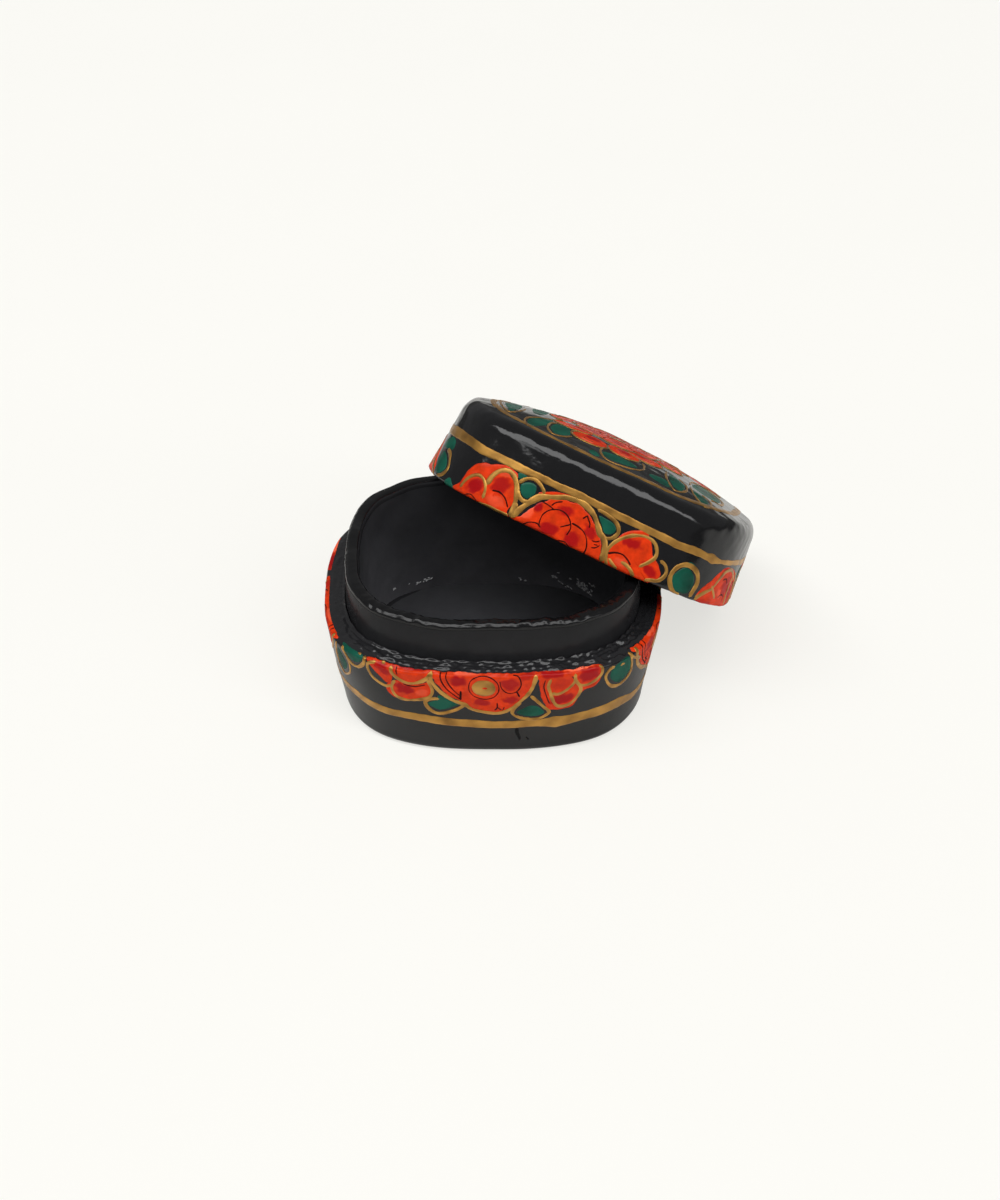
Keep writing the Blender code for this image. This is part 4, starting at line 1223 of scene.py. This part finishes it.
lid_black = black_lacquer("black_lacquer_rubbed", "#0a0a0b", "#202022", 0.62, 0.10, 0.06)
base_black = black_lacquer("black_lacquer_varnished", "#0a0a0b", "#303032", 0.58, 0.14, 0.03)
collar_black = black_lacquer("black_lacquer_satin", "#0a0a0b", "#303032", 0.52, 0.19, 0.05)
# The wash's light tones are painted light against the shade inside the box
wash_black = black_lacquer("black_wash_unvarnished", "#222224", "#68686c", 0.02, 0.5, 0.02)
face_black = black_lacquer("black_lacquer_dulled", "#0a0a0b", "#28282a", 0.24, 0.22, 0.05)
run_black = black_lacquer("black_varnish_run", "#060607", "#0d0d0e", 0.2, 0.2, 0.02)
vermilion, leaf_green = vermilion_paint(), leaf_green_paint()
bronze_gold, line_ink = bronze_gold_paint(), ink_line_paint()

# How many points each shell has round the plan
BASE_COLUMNS, COLLAR_COLUMNS, LID_COLUMNS = 720, 640, 600

base_skin = turned_shell("base_skin", base_point, base_profile(), BASE_COLUMNS, base_black, "base",
                         "base_lacquer", base_tone_and_painted_light)
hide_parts("base_shell")
collar_skin = turned_shell("collar_skin", collar_point, collar_profile(), COLLAR_COLUMNS, collar_black, "base",
                           "collar_lacquer", collar_painted_light, loop=True)
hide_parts("collar_strip")
lid_skin = turned_shell("lid_skin", lid_point, lid_profile(), LID_COLUMNS, lid_black, "lid", "lid_lacquer",
                        lid_tone)
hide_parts("lid_shell")

coats = {}
for body in ("base", "lid"):
    slot = body + "_lacquer"
    coats[body] = [Coat(body + name, paint, body, slot, thickness=thickness)
                   for name, paint, thickness in (("_vermilion_petals", vermilion, 0.045),
                                                  ("_green_leaves", leaf_green, 0.045),
                                                  ("_gold_lines", bronze_gold, 0.07), ("_ink_lines", line_ink, 0.03))]

base_side = side_skin(base_point, [(33.0, BASE_HEIGHT + LEDGE_SLOPE)]
                      + arc((BASE_HALF - LEDGE_ROUNDING, BASE_HEIGHT - LEDGE_ROUNDING), LEDGE_ROUNDING, 90, 0)
                      + arc((FOOT_HALF - FOOT_ROUNDING, FOOT_ROUNDING), FOOT_ROUNDING, 0, -90), 11, -1)
lid_side = side_skin(lid_point, [(BASE_HALF - LID_RIM_ROUNDING - 1.5, 0.0)]
                     + arc((BASE_HALF - LID_RIM_ROUNDING, LID_RIM_ROUNDING), LID_RIM_ROUNDING, -90, 0)
                     + shoulder(), 6, 1)
lid_top = Skin(crown_point, 1)
base_floor = Skin(floor_point, 1)
inner_wall = side_skin(collar_point, [(COLLAR_HALF - COLLAR_DRAFT - COLLAR_WALL, FLOOR - 0.1),
                                      (COLLAR_HALF - COLLAR_WALL, COLLAR_TOP - COLLAR_ROUNDING)], 0, -1)
outer_wall = side_skin(collar_point, [(COLLAR_HALF, COLLAR_TOP - COLLAR_ROUNDING), (COLLAR_HALF, BASE_HEIGHT)],
                       0, -1)

wash = Coat("base_inside_wash", wash_black, "base", "base_lacquer", 0.02)
paint_wash(wash, base_floor, inner_wall)
wash.finish()
face = Coat("collar_dulled_face", face_black, "base", "collar_lacquer", 0.02)
paint_wall(face, outer_wall, 0.3, COLLAR_PROUD - COLLAR_ROUNDING - 0.1, 0.4, 0.8)
face.finish()
# Pale flecks low on the inner wall: painted highlights, standing in for the lamp's glints
glint_coat = Coat("base_floor_painted_glints", glint_fleck_paint(), "base", "base_lacquer", 0.05)
paint_glint_flecks(glint_coat, inner_wall)
glint_coat.finish()

run = Coat("base_varnish_run", run_black, "base", "base_lacquer", 0.03)
run.line(base_side, [(5.5, 14.7), (5.6, 16.2), (6.2, 17.6), (6.4, 18.6)], 0.8, 0.12)
run.line(base_side, [(7.8, 17.5), (8.1, 18.0), (8.5, 18.3)], 0.5, 0.08)
run.finish()

# The front's motifs, and the guessed ones round the sides and back
base_front = [PETALS_LEFT, PETALS_RIGHT, OPEN_FLOWER, LEAVES_FAR_LEFT]
base_hand = Hand(base_side, *coats["base"], limit=-1.5, pen=0.94)
base_hand.paint_round([(base_front, 0.0, False, 0), ([OPEN_FLOWER], 46.9, False, 3), ([OPEN_FLOWER], -54.2, True, 5),
                       (base_front, 126.0, True, 7), ([OPEN_FLOWER], 76.0, False, 9),
                       ([LEAVES_FAR_LEFT], 96.0, False, 11), ([PETALS_RIGHT], 192.0, True, 13)])
paint_band(base_side, coats["base"][2], **BASE_BAND, seed=501)

lid_front = [PETAL_PAIR, FOLDED_ROSE, BUD, ROUND_LEAF]
lid_hand = Hand(lid_side, *coats["lid"], limit=-0.6, pen=1.1)
lid_hand.paint_round([(lid_front + [LONG_FLOWER, LEAVES_CORNER], 0.0, False, 0), ([LONG_FLOWER], -5.0, True, 21),
                      (lid_front, 122.0, True, 23), ([FOLDED_ROSE], 70.0, False, 25),
                      ([LEAVES_CORNER], 97.0, False, 27), ([ROUND_LEAF], 54.0, False, 33),
                      ([LONG_FLOWER], 215.0, True, 29), ([ROUND_LEAF], 154.0, False, 31)])
paint_band(lid_side, coats["lid"][2], **LID_BAND, seed=521)
paint_top(Hand(lid_top, *coats["lid"], limit=None, pen=0.75))

for body in coats:
    for coat in coats[body]:
        coat.finish()

bpy.context.scene.view_settings.view_transform = "Standard"
